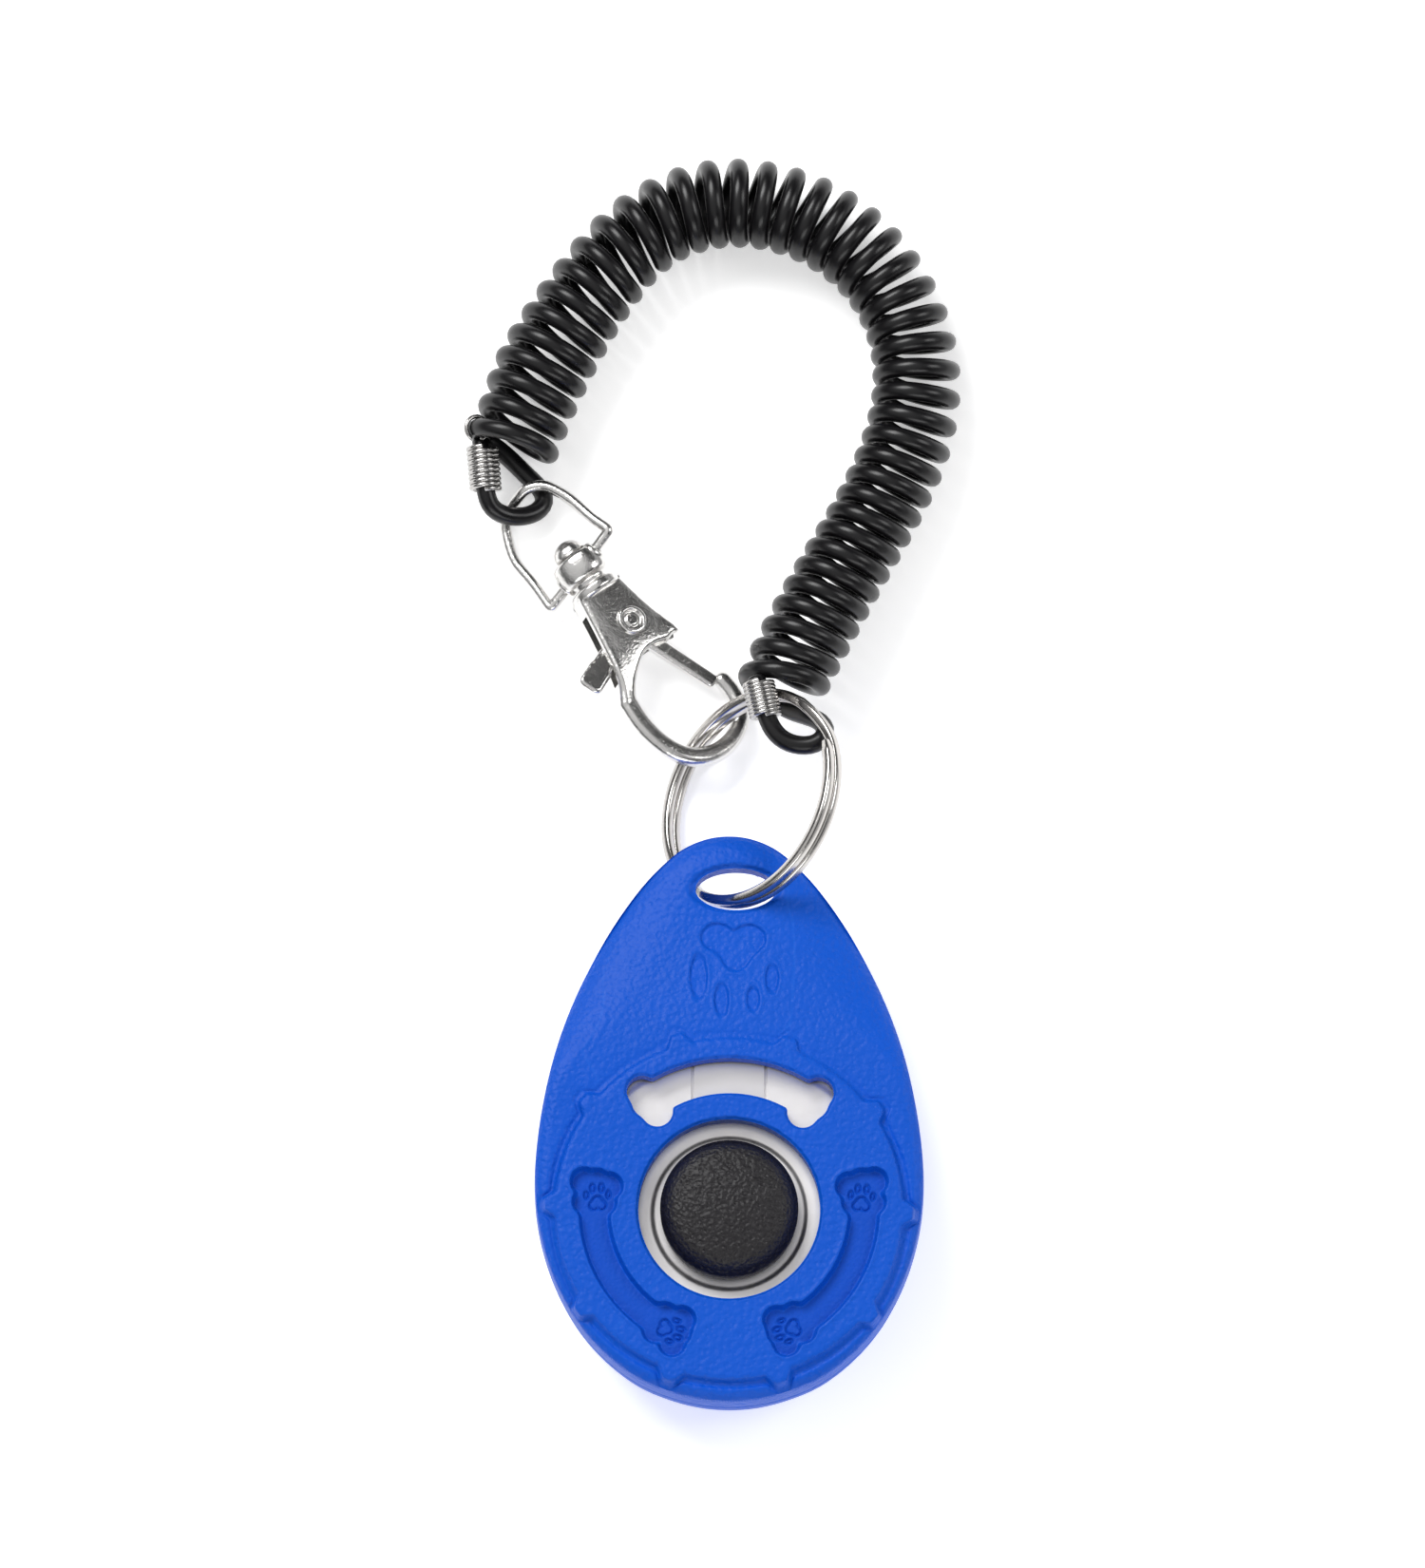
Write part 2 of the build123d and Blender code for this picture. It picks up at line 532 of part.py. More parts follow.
def make_clasp_gate():
    """One flat lever: the closing arm, and the thumb tab on the other side."""
    arm_x, arm_y = clasp_point(-1.45, 63.3)
    tab_x, tab_y = clasp_point(-15.6, 62.9)
    tab_angle, tab_reach = math.atan2(tab_y, tab_x), math.hypot(tab_x, tab_y)
    arm = gate_bar(math.atan2(arm_y, arm_x), 5.7, 10.6, 1.6, GATE_T)
    thumb = gate_bar(tab_angle, tab_reach / 2, tab_reach, 2.2, GATE_T)
    knob = gate_bar(tab_angle, tab_reach, 3.0, 3.0, 2.2)
    gate = Cylinder(2.0, GATE_T) + arm + thumb + knob - Cylinder(RIVET_R + 0.08, 6)
    # pocket for the spring
    gate = gate - Pos(0, 0, GATE_T / 2) * Cylinder(1.75, 1.3)
    return CLASP_PLANE * gate


def make_gate_spring():
    """An open ring of wire round the rivet, in the lever's pocket."""
    section = Plane.XZ * (Pos(1.35, 0) * Circle(0.22))
    turn = revolve(section, axis=Axis.Z, revolution_arc=325)
    return CLASP_PLANE * (Pos(0, 0, 0.32) * turn)


def make_gate_rivet():
    reach = RIVET_DIR * (CLASP_T / 2 + 0.35)
    rivet = rod(RIVET_AT - reach, RIVET_AT + reach, RIVET_R)
    for side in (-1, 1):
        base = RIVET_AT + RIVET_DIR * (side * (CLASP_T / 2 + 0.02))
        rivet = rivet + rod(base, base + RIVET_DIR * (side * 0.45), 1.75)
    # dimple in one head
    return rivet - rod(RIVET_AT + RIVET_DIR * (CLASP_T / 2 + 0.25), RIVET_AT + RIVET_DIR * 4, 0.8)


# ---------------------------------------------------------------- export
pieces = {
    "front_cover": make_front_cover(),
    "back_cover": make_back_cover(),
    "click_plate": make_click_plate(),
    "button": make_button(),
    "split_ring": make_split_ring(),
    "coil_cord": make_coil_cord(),
    "upper_crimp": make_crimp((-27.93, 85.6, 4.72), (-28.3, 89.9, 4.98)),
    "lower_crimp": make_crimp((4.22, 57.2, 12.45), (3.44, 60.9, 12.45)),
    "bail": make_bail(),
    "swivel_barrel": make_swivel_barrel(),
    "swivel_post": make_swivel_post(),
    "clasp_body": make_clasp_body(),
    "clasp_gate": make_clasp_gate(),
    "gate_spring": make_gate_spring(),
    "gate_rivet": make_gate_rivet(),
}

os.makedirs("parts", exist_ok=True)
for name, shape in pieces.items():
    solid = largest_solid(shape)
    solid.label = name
    export_step(solid, f"parts/{name}.step")
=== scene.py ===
# A clicker with a thumb button, a split key ring, a coiled wrist cord and a swivel clasp.
# It lies on the floor at z = 0 with the button up (+Z). The button's axis is the z axis.
# The casing narrows toward +Y, where the ring hangs; the coil lies beyond the ring and
# the clasp lies inside the coil's loop, on the -X side. Sizes are in mm unless noted.
import math
from collections import namedtuple
from functools import reduce

import bmesh
import bpy
import numpy as np
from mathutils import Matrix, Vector


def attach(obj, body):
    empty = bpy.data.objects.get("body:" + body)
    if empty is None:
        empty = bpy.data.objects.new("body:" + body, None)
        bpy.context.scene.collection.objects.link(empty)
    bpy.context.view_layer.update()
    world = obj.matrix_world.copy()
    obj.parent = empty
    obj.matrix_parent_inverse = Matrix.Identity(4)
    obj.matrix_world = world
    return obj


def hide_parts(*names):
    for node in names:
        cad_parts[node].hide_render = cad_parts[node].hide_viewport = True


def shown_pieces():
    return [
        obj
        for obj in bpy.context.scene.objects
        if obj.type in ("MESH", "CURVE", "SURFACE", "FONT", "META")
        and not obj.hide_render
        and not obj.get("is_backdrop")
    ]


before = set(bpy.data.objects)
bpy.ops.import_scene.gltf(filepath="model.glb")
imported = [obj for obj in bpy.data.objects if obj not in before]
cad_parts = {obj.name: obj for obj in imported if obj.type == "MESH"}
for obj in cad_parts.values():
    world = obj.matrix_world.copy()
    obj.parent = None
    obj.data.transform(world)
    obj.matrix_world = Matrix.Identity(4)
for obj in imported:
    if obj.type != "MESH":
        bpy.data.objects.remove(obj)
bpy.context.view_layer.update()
MM = 0.001
collection = bpy.context.scene.collection

# ------------------------------------------------------------------ materials
# One bump layer: texture scale, height in mm, strength, axis stretch, rounded cells or noise.
Bump = namedtuple("Bump", "scale height strength stretch cells", defaults=(None, False))

TEXTURE_SCALE = 900.0            # scale of the roughness noise; the others follow from it
MIX_A, MIX_B, MIX_OUT = 6, 7, 2  # colour sockets of a Mix node


def material(name, color, rough, metal=0.0, bumps=(), rough_var=0.08, color_var=0.06,
             wear=0.0, wear_color=None, specular=0.5):
    """Mottled colour, uneven roughness, optional worn edges and stacked bump layers."""
    made = bpy.data.materials.new(name)
    made.use_nodes = True
    nodes, link = made.node_tree.nodes, made.node_tree.links.new
    shader = nodes["Principled BSDF"]
    coords = nodes.new("ShaderNodeTexCoord").outputs["Object"]

    def noise(scale, detail, roughness=0.55, stretch=None):
        node = nodes.new("ShaderNodeTexNoise")
        node.inputs["Scale"].default_value = scale
        node.inputs["Detail"].default_value = detail
        node.inputs["Roughness"].default_value = roughness
        source = coords
        if stretch:
            mapping = nodes.new("ShaderNodeMapping")
            mapping.inputs["Scale"].default_value = stretch
            link(coords, mapping.inputs["Vector"])
            source = mapping.outputs["Vector"]
        link(source, node.inputs["Vector"])
        return node

    def color_mix():
        node = nodes.new("ShaderNodeMix")
        node.data_type = "RGBA"
        return node

    def multiply():
        node = nodes.new("ShaderNodeMath")
        node.operation = "MULTIPLY"
        return node

    mottle = noise(TEXTURE_SCALE * 0.12, detail=3.0)
    mix = color_mix()
    mix.inputs[MIX_A].default_value = (*(c * (1 - color_var) for c in color), 1)
    mix.inputs[MIX_B].default_value = (*(c * (1 + color_var) for c in color), 1)
    link(mottle.outputs["Fac"], mix.inputs[0])
    if wear > 0:
        geometry = nodes.new("ShaderNodeNewGeometry")
        ramp = nodes.new("ShaderNodeValToRGB")
        for element, position in zip(ramp.color_ramp.elements, (0.53, 0.62)):
            element.position = position
        link(geometry.outputs["Pointiness"], ramp.inputs["Fac"])
        patches = noise(TEXTURE_SCALE * 0.9, detail=5.0)
        patchy = multiply()
        link(ramp.outputs["Color"], patchy.inputs[0])
        link(patches.outputs["Fac"], patchy.inputs[1])
        amount = multiply()
        amount.inputs[1].default_value = wear
        link(patchy.outputs[0], amount.inputs[0])
        worn = color_mix()
        worn.inputs[MIX_B].default_value = (*wear_color, 1)
        link(amount.outputs[0], worn.inputs[0])
        link(mix.outputs[MIX_OUT], worn.inputs[MIX_A])
        mix = worn
    link(mix.outputs[MIX_OUT], shader.inputs["Base Color"])

    fine = noise(TEXTURE_SCALE, detail=5.0)
    span = nodes.new("ShaderNodeMapRange")
    span.inputs["To Min"].default_value = rough - rough_var
    span.inputs["To Max"].default_value = rough + rough_var
    link(fine.outputs["Fac"], span.inputs["Value"])
    link(span.outputs["Result"], shader.inputs["Roughness"])
    shader.inputs["Metallic"].default_value = metal
    shader.inputs["Specular IOR Level"].default_value = specular

    below = None
    for layer in bumps:
        if layer.cells:
            texture = nodes.new("ShaderNodeTexVoronoi")
            texture.feature = "SMOOTH_F1"
            texture.inputs["Scale"].default_value = layer.scale
            warp = noise(layer.scale * 0.8, detail=2.0)
            warped = nodes.new("ShaderNodeVectorMath")
            warped.operation = "MULTIPLY_ADD"
            warped.inputs[1].default_value = (0.6 / layer.scale,) * 3
            link(warp.outputs["Color"], warped.inputs[0])
            link(coords, warped.inputs[2])
            link(warped.outputs[0], texture.inputs["Vector"])
            height = texture.outputs["Distance"]
        else:
            height = noise(layer.scale, 4.0, 0.5, layer.stretch).outputs["Fac"]
        bump = nodes.new("ShaderNodeBump")
        bump.inputs["Distance"].default_value = layer.height * MM
        bump.inputs["Strength"].default_value = layer.strength
        link(height, bump.inputs["Height"])
        if below:
            link(below.outputs["Normal"], bump.inputs["Normal"])
        below = bump
    link(below.outputs["Normal"], shader.inputs["Normal"])
    return made


CASE_BLUE = material(
    "case_blue", (0.0010, 0.084, 0.56), rough=0.46, rough_var=0.07, color_var=0.05,
    wear=0.15, wear_color=(0.03, 0.2, 0.8), specular=0.2,
    bumps=[Bump(scale=1700, height=0.16, strength=0.8, cells=True),
           Bump(scale=3300, height=0.07, strength=0.6)])
# Groove floors: rougher, finer-grained blue; its darker colour is painted shade in the recess
SHADED_GROOVE_BLUE = material(
    "groove_blue_painted_shade", (0.0012, 0.070, 0.50), rough=0.62, color_var=0.08, specular=0.2,
    bumps=[Bump(scale=2300, height=0.10, strength=0.8, cells=True),
           Bump(scale=4200, height=0.05, strength=0.6)])
BUTTON_BLACK = material(
    "button_black", (0.0075, 0.0062, 0.0085), rough=0.44, color_var=0.1,
    wear=0.12, wear_color=(0.06, 0.055, 0.065), specular=0.42,
    bumps=[Bump(scale=2300, height=0.26, strength=1.0, cells=True),
           Bump(scale=3300, height=0.12, strength=0.8)])
CLICK_STEEL = material(
    "click_steel", (0.97, 0.95, 0.945), rough=0.38, metal=1.0, rough_var=0.06, color_var=0.03,
    bumps=[Bump(scale=420, height=0.02, strength=0.12, stretch=(1, 14, 1)),
           Bump(scale=2500, height=0.006, strength=0.12)])
RING_NICKEL = material(
    "ring_nickel", (0.56, 0.54, 0.52), rough=0.2, metal=1.0, rough_var=0.09,
    wear=0.2, wear_color=(0.75, 0.74, 0.72),
    bumps=[Bump(scale=1500, height=0.02, strength=0.15),
           Bump(scale=5000, height=0.006, strength=0.2)])
CLASP_NICKEL = material(
    "clasp_nickel", (0.70, 0.69, 0.675), rough=0.24, metal=1.0, rough_var=0.07, color_var=0.05,
    bumps=[Bump(scale=130, height=0.35, strength=0.5),
           Bump(scale=3000, height=0.07, strength=0.5),
           Bump(scale=6500, height=0.02, strength=0.4)])
CRIMP_WIRE = material(
    "crimp_wire", (0.46, 0.45, 0.44), rough=0.24, metal=1.0,
    bumps=[Bump(scale=2600, height=0.02, strength=0.25)])
CORD_BLACK = material(
    "cord_black", (0.0045, 0.0042, 0.005), rough=0.30, color_var=0.12, specular=0.38,
    bumps=[Bump(scale=700, height=0.04, strength=0.12),
           Bump(scale=6000, height=0.006, strength=0.25)])
SPRING_STEEL = material(
    "spring_steel", (0.45, 0.45, 0.46), rough=0.3, metal=1.0,
    bumps=[Bump(scale=3000, height=0.02, strength=0.2)])
FLOOR_PAPER = material(
    "floor_paper", (0.985, 0.985, 0.985), rough=0.7, rough_var=0.03, color_var=0.004,
    specular=0.2, bumps=[Bump(scale=900, height=0.02, strength=0.1)])


# ------------------------------------------------------------------ mesh helpers
def mesh_object(name, verts, faces, *materials, face_materials=None):
    """A smooth-shaded object from vertices in mm."""
    mesh = bpy.data.meshes.new(name)
    verts = np.asarray(verts, float) * MM
    mesh.from_pydata(verts.tolist(), [], [list(map(int, face)) for face in faces])
    mesh.validate()
    mesh.update()
    obj = bpy.data.objects.new(name, mesh)
    collection.objects.link(obj)
    for one in materials:
        mesh.materials.append(one)
    # validate() may drop faces, and then the list no longer matches
    if face_materials is not None and len(face_materials) == len(mesh.polygons):
        mesh.polygons.foreach_set("material_index", np.asarray(face_materials, dtype=np.int32))
    shade_smooth(mesh)
    return obj


def shade_smooth(mesh):
    mesh.polygons.foreach_set("use_smooth", [True] * len(mesh.polygons))


def joined(name, parts, surface):
    """One object from (verts, faces) parts, welded, with its normals made consistent."""
    verts, faces = [], []
    for part_verts, part_faces in parts:
        base = len(verts)
        faces += [tuple(i + base for i in face) for face in part_faces]
        verts += list(part_verts)
    obj = mesh_object(name, verts, faces, surface)
    bm = bmesh.new()
    bm.from_mesh(obj.data)
    bmesh.ops.remove_doubles(bm, verts=bm.verts, dist=1e-7)
    bmesh.ops.recalc_face_normals(bm, faces=bm.faces)
    bm.to_mesh(obj.data)
    bm.free()
    return obj


def install(obj, ride, replaces):
    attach(obj, ride)
    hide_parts(replaces)


def grid_faces(rows, columns, wrap=False):
    faces = []
    for i in range(rows if wrap else rows - 1):
        a = i * columns
        b = (i + 1) % rows * columns
        faces += [(a + j, b + j, b + j + 1, a + j + 1) for j in range(columns - 1)]
    return faces


def band_faces(rings, sides):
    """Quads between successive closed rings."""
    faces = []
    for i in range(rings - 1):
        for j in range(sides):
            k = (j + 1) % sides
            faces.append((i * sides + j, i * sides + k, (i + 1) * sides + k, (i + 1) * sides + j))
    return faces


def rim_edges(faces):
    """Edges that belong to only one of the quads."""
    edges = np.concatenate([faces[:, [i, (i + 1) % 4]] for i in range(4)])
    _, inverse, count = np.unique(np.sort(edges, 1), axis=0,
                                  return_inverse=True, return_counts=True)
    return edges[count[inverse.reshape(-1)] == 1]


def unit(v):
    v = np.asarray(v, float)
    return v / np.linalg.norm(v)


def axes_about(axis, toward=None):
    """Right-handed x, y, z with z on the axis and x leaning toward a given vector."""
    z = unit(axis)
    if toward is None:
        toward = (0, 0, 1) if abs(z[2]) < 0.9 else (1, 0, 0)
    toward = np.array(toward, float)
    x = unit(toward - z * (toward @ z))
    return x, np.cross(z, x), z


def around(angles, x, y):
    return np.cos(angles)[..., None] * x + np.sin(angles)[..., None] * y


def full_circle(count):
    return np.linspace(0, 2 * np.pi, count, endpoint=False)


def tube(path, radius, sides):
    """A tube along a path with low domed ends."""
    dome = 0.45                      # dome height over tube radius
    path = np.asarray(path, float)
    tangent = np.gradient(path, axis=0)
    tangent /= np.linalg.norm(tangent, axis=1)[:, None]
    normal = np.zeros_like(path)
    normal[0] = axes_about(tangent[0])[0]
    for i in range(1, len(path)):    # carried along without twist
        normal[i] = unit(normal[i - 1] - tangent[i] * (normal[i - 1] @ tangent[i]))
    binormal = np.cross(tangent, normal)
    angles = full_circle(sides)
    verts = path[:, None] + radius * around(angles, normal[:, None], binormal[:, None])
    verts = verts.reshape(-1, 3).tolist()
    faces = band_faces(len(path), sides)
    for end, sign in ((0, -1), (len(path) - 1, 1)):
        last = range(end * sides, (end + 1) * sides)
        for part in (0.5, 0.85):
            rise = part * np.pi / 2
            ring = path[end] + radius * (np.cos(rise) * around(angles, normal[end], binormal[end])
                                         + sign * dome * np.sin(rise) * tangent[end])
            new = range(len(verts), len(verts) + sides)
            verts += ring.tolist()
            for j in range(sides):
                k = (j + 1) % sides
                faces.append((last[j], last[k], new[k], new[j]))
            last = new
        tip = len(verts)
        verts.append((path[end] + sign * dome * radius * tangent[end]).tolist())
        faces += [(last[j], last[(j + 1) % sides], tip) for j in range(sides)]
    return verts, faces


def spline(points, per_span):
    """Catmull-Rom curve; centripetal spacing keeps it from looping at tight bends."""
    def between(a, b, ta, tb, t):
        return (tb - t) / (tb - ta) * a + (t - ta) / (tb - ta) * b

    p = np.asarray(points, float)
    padded = np.vstack([2 * p[0] - p[1], p, 2 * p[-1] - p[-2]])
    curve = []
    for i in range(1, len(padded) - 2):
        p0, p1, p2, p3 = padded[i - 1:i + 3]
        t0 = 0
        t1 = np.linalg.norm(p1 - p0) ** 0.5
        t2 = t1 + np.linalg.norm(p2 - p1) ** 0.5
        t3 = t2 + np.linalg.norm(p3 - p2) ** 0.5
        for k in range(per_span):
            t = t1 + (t2 - t1) * k / per_span
            a1 = between(p0, p1, t0, t1, t)
            a2 = between(p1, p2, t1, t2, t)
            a3 = between(p2, p3, t2, t3, t)
            b1 = between(a1, a2, t0, t2, t)
            b2 = between(a2, a3, t1, t3, t)
            curve.append(between(b1, b2, t1, t2, t))
    curve.append(p[-1])
    return np.array(curve)


def arc_lengths(p):
    return np.r_[0, np.cumsum(np.linalg.norm(np.diff(p, axis=0), axis=1))]


def resample(p, step):
    run = arc_lengths(p)
    at = np.linspace(0, run[-1], max(3, int(run[-1] / step)))
    return np.stack([np.interp(at, run, p[:, i]) for i in range(p.shape[1])], 1)


def smooth_path(p, passes):
    p = p.copy()
    for _ in range(passes):
        p[1:-1] = (p[:-2] + 2 * p[1:-1] + p[2:]) / 4
    return p


def lathe(profile, origin, axis, sides):
    """Spins a (radius, height) profile; ends on the axis close it."""
    x, y, z = axes_about(axis)
    profile = np.asarray(profile, float)
    verts = (np.asarray(origin, float)
             + profile[None, :, 0, None] * around(full_circle(sides), x, y)[:, None]
             + profile[None, :, 1, None] * z)
    return verts.reshape(-1, 3).tolist(), grid_faces(sides, len(profile), wrap=True)


def rounded(profile, radius):
    """Rounds the corners of an open profile."""
    steps = 5
    p = np.asarray(profile, float)
    out = [p[0]]
    for before, corner, after in zip(p, p[1:], p[2:]):
        length_in = np.linalg.norm(before - corner)
        length_out = np.linalg.norm(after - corner)
        reach = min(radius, length_in * 0.49, length_out * 0.49)
        if reach < 1e-4:
            out.append(corner)
            continue
        start = corner + (before - corner) / length_in * reach
        end = corner + (after - corner) / length_out * reach
        for k in range(steps + 1):
            t = k / steps
            out.append((1 - t) ** 2 * start + 2 * t * (1 - t) * corner + t * t * end)
    out.append(p[-1])
    return np.array(out)


def smooth_step(x, start, end):
    t = np.clip((x - start) / (end - start), 0, 1)
    return t * t * (3 - 2 * t)


# ------------------------------------------------------------------ casing outline
# (y, x) down the +X side, from the narrow end to the round end.
HALF_OUTLINE = [
    (43.89, 0.0), (43.6, 2.45), (42.34, 5.39), (39.68, 8.43), (37.02, 10.7), (33.03, 13.44),
    (29.04, 15.67), (25.05, 17.6), (21.06, 19.12), (17.07, 20.3), (13.07, 21.18), (9.08, 21.82),
    (4.43, 22.2), (-0.23, 21.98), (-4.22, 21.2), (-8.21, 19.85), (-12.2, 17.75), (-14.86, 15.75),
    (-17.52, 13.0), (-19.52, 10.1), (-20.85, 6.95), (-21.75, 3.6), (-22.07, 0.0)]
AROUND = 1100            # points around the casing


def casing_outline():
    """Evenly spaced (x, y) outline points, clockwise from above, and outward normals."""
    per_span, overlap = 30, 4
    control = np.array([(x, y, 0) for y, x in HALF_OUTLINE]
                       + [(-x, y, 0) for y, x in HALF_OUTLINE[-2:0:-1]])
    wrapped = np.vstack([control[-overlap:], control, control[:overlap + 1]])
    first = overlap * per_span
    dense = spline(wrapped, per_span)[first:first + len(control) * per_span]
    for _ in range(60):
        dense = (np.roll(dense, 1, 0) + 2 * dense + np.roll(dense, -1, 0)) / 4
    loop = np.vstack([dense, dense[:1]])
    run = arc_lengths(loop)
    at = np.linspace(0, run[-1], AROUND, endpoint=False)
    outline = np.stack([np.interp(at, run, loop[:, i]) for i in (0, 1)], 1)
    tangent = np.roll(outline, -1, 0) - np.roll(outline, 1, 0)
    tangent /= np.linalg.norm(tangent, axis=1)[:, None]
    return outline, np.stack([-tangent[:, 1], tangent[:, 0]], 1)


OUTLINE, OUTWARD = casing_outline()


def inset(distance):
    return OUTLINE - OUTWARD * distance


def outline_distance(points):
    """Distance to the outline, worked in blocks to save memory."""
    block = 20000
    points = points.astype(np.float32)
    outline = OUTLINE[::2].astype(np.float32)
    out = np.empty(len(points), np.float32)
    for i in range(0, len(points), block):
        gaps = points[i:i + block, None] - outline[None]
        out[i:i + block] = np.sqrt((gaps ** 2).sum(2).min(1))
    return out.astype(float)


# ------------------------------------------------------------------ flat shapes
# Each gives a signed distance at (x, y) points, negative inside.
# Bearings are degrees anticlockwise from +Y.
def bearing(points):
    return np.degrees(np.arctan2(-points[:, 0], points[:, 1]))


def polar(radius, degrees):
    angle = np.radians(90 + degrees)
    return np.stack([radius * np.cos(angle), radius * np.sin(angle)], -1)


def disc(points, centre, radius):
    return np.linalg.norm(points - centre, axis=1) - radius


def fillet_min(a, b, k):
    """Smallest of two distances, joined with a fillet of about k."""
    h = np.clip(0.5 + 0.5 * (a - b) / k, 0, 1)
    return b * h + a * (1 - h) - k * h * (1 - h)


def bone(points, middle, half_span, shaft, lobe, lobe_offset, radius, second_lobes=0.0):
    """A bone bent round the origin; second_lobes sets extra lobes back by those degrees."""
    turn = (bearing(points) - middle + 180) % 360 - 180
    d = disc(points, polar(radius, middle + np.clip(turn, -half_span, half_span)), shaft / 2)
    for end in (-half_span, half_span):
        for side in (-1, 1):
            centre = polar(radius + side * lobe_offset, middle + end)
            d = fillet_min(d, disc(points, centre, lobe), 0.35)
            if second_lobes:
                centre = polar(radius + side * lobe_offset * 0.72,
                               middle + end - math.copysign(second_lobes, end))
                d = fillet_min(d, disc(points, centre, lobe * 0.95), 0.5)
    return d


def ellipse(points, x, y, rx, ry):
    length = np.linalg.norm((points - (x, y)) / (rx, ry), axis=1) + 1e-9
    return (length - 1) * min(rx, ry) * (0.6 + 0.4 * length)


# (across, along, radius), over the paw's size
PAW_PAD = [(-0.22, -0.46, 0.26), (0.22, -0.46, 0.26), (0, -0.22, 0.28)]
PAW_TOES = [(-0.62, 0.12, 0.155), (-0.25, 0.50, 0.18), (0.25, 0.50, 0.18), (0.62, 0.12, 0.155)]
PAW_SIZE = 2.05


def paw(points, x, y, heading):
    angle = math.radians(heading)
    across = np.array([math.cos(angle), math.sin(angle)])
    along = np.array([-math.sin(angle), math.cos(angle)])

    def place(u, v):
        return (x, y) + PAW_SIZE * (u * across + v * along)

    pads = [disc(points, place(u, v), PAW_SIZE * r) for u, v, r in PAW_PAD]
    d = reduce(lambda a, b: fillet_min(a, b, 0.3), pads)
    for u, v, r in PAW_TOES:
        offset = points - place(u, v)
        toe = np.hypot(offset @ across / 0.8, offset @ along / 1.25) - PAW_SIZE * r
        d = np.minimum(d, toe * 0.85)
    return d


SLOT_X, SLOT_Y = 0.76, 37.5      # key-ring slot centre


def key_slot(points):
    return ellipse(points, SLOT_X, SLOT_Y, rx=4.6, ry=2.45)


def near_key_slot(verts):
    return np.hypot(verts[:, 0] - SLOT_X, verts[:, 1] - SLOT_Y) < 6.3


def bone_window(points):
    return bone(points, middle=-0.5, half_span=36.5, shaft=4.1, lobe=1.78, lobe_offset=1.45,
                radius=15.4)


def near_window(verts):
    r = np.hypot(verts[:, 0], verts[:, 1])
    return (r < 19.5) & (verts[:, 1] > 5) & (r > 11)


def side_grooves(points):
    return [bone(points, middle, half_span=39.0, shaft=3.5, lobe=1.6, lobe_offset=1.45,
                 radius=15.35, second_lobes=8.0) for middle in (118.2, -118.2)]


def dial_edge(points):
    """Depth inside the dial's edge, which has ten small bumps."""
    pitch = 36
    from_bump = (bearing(points) + 1.5) % pitch - pitch / 2
    bump = 1.0 - smooth_step(np.abs(from_bump), 1.2, 5.0)
    return 20.0 + 1.25 * bump - np.hypot(points[:, 0], points[:, 1])


def slope_print(points):
    """Paw print on the slope: three merged ellipses and four toes."""
    left = ellipse(points, -1.35, 31.75, 1.9, 1.7)
    right = ellipse(points, 2.25, 31.55, 1.95, 1.75)
    low = ellipse(points, 0.75, 29.8, 1.75, 2.1)
    d = fillet_min(fillet_min(left, right, 0.6), low, 1.5)
    for x, y, rx, ry in ((-3.48, 27.1, 1.0, 2.75), (-0.87, 24.35, 0.82, 2.05),
                         (2.72, 24.4, 0.72, 1.55), (4.9, 26.85, 0.76, 1.75)):
        d = np.minimum(d, ellipse(points, x, y, rx, ry))
    return d


# ------------------------------------------------------------------ casing relief
HOLE_RADIUS = 10.35              # button hole
SMALL_PAWS = [(-15.0, 1.5, 2), (15.1, 1.4, -4), (-6.6, -13.9, -110), (6.6, -13.9, 110)]


def dent(distance, depth, soft, full, power=1):
    """Starts `soft` outside a shape's edge and is at full depth `full` inside it."""
    return depth * smooth_step(-distance, -soft, full) ** power


def swell(distance, height, at, width):
    return height * np.exp(-((distance - at) / width) ** 2)


def shell_z(points):
    """The plain top: level over the round end, sloping down toward +Y, rounded at the edge."""
    x, y = np.abs(points[:, 0]), points[:, 1]
    slope = smooth_step(y, 14, 27)
    base = 14.3 - 1.55 * smooth_step(y, 18.5, 35.5) - 0.35 * smooth_step(y, 33, 45)
    crown = 0.35 * (x / 14) ** 2.2 + 0.18 * smooth_step(x, 3.0, 12.0)
    edge_width = (1.7 + 5.0 * slope) * (1 - 0.45 * smooth_step(y, 34, 43))
    edge_drop = 1.5 + 0.75 * slope
    t = np.clip(1 - outline_distance(points) / edge_width, 0, 1)
    return base - slope * crown - edge_drop * (1 - np.sqrt(np.clip(1 - t ** 2, 0, 1)))


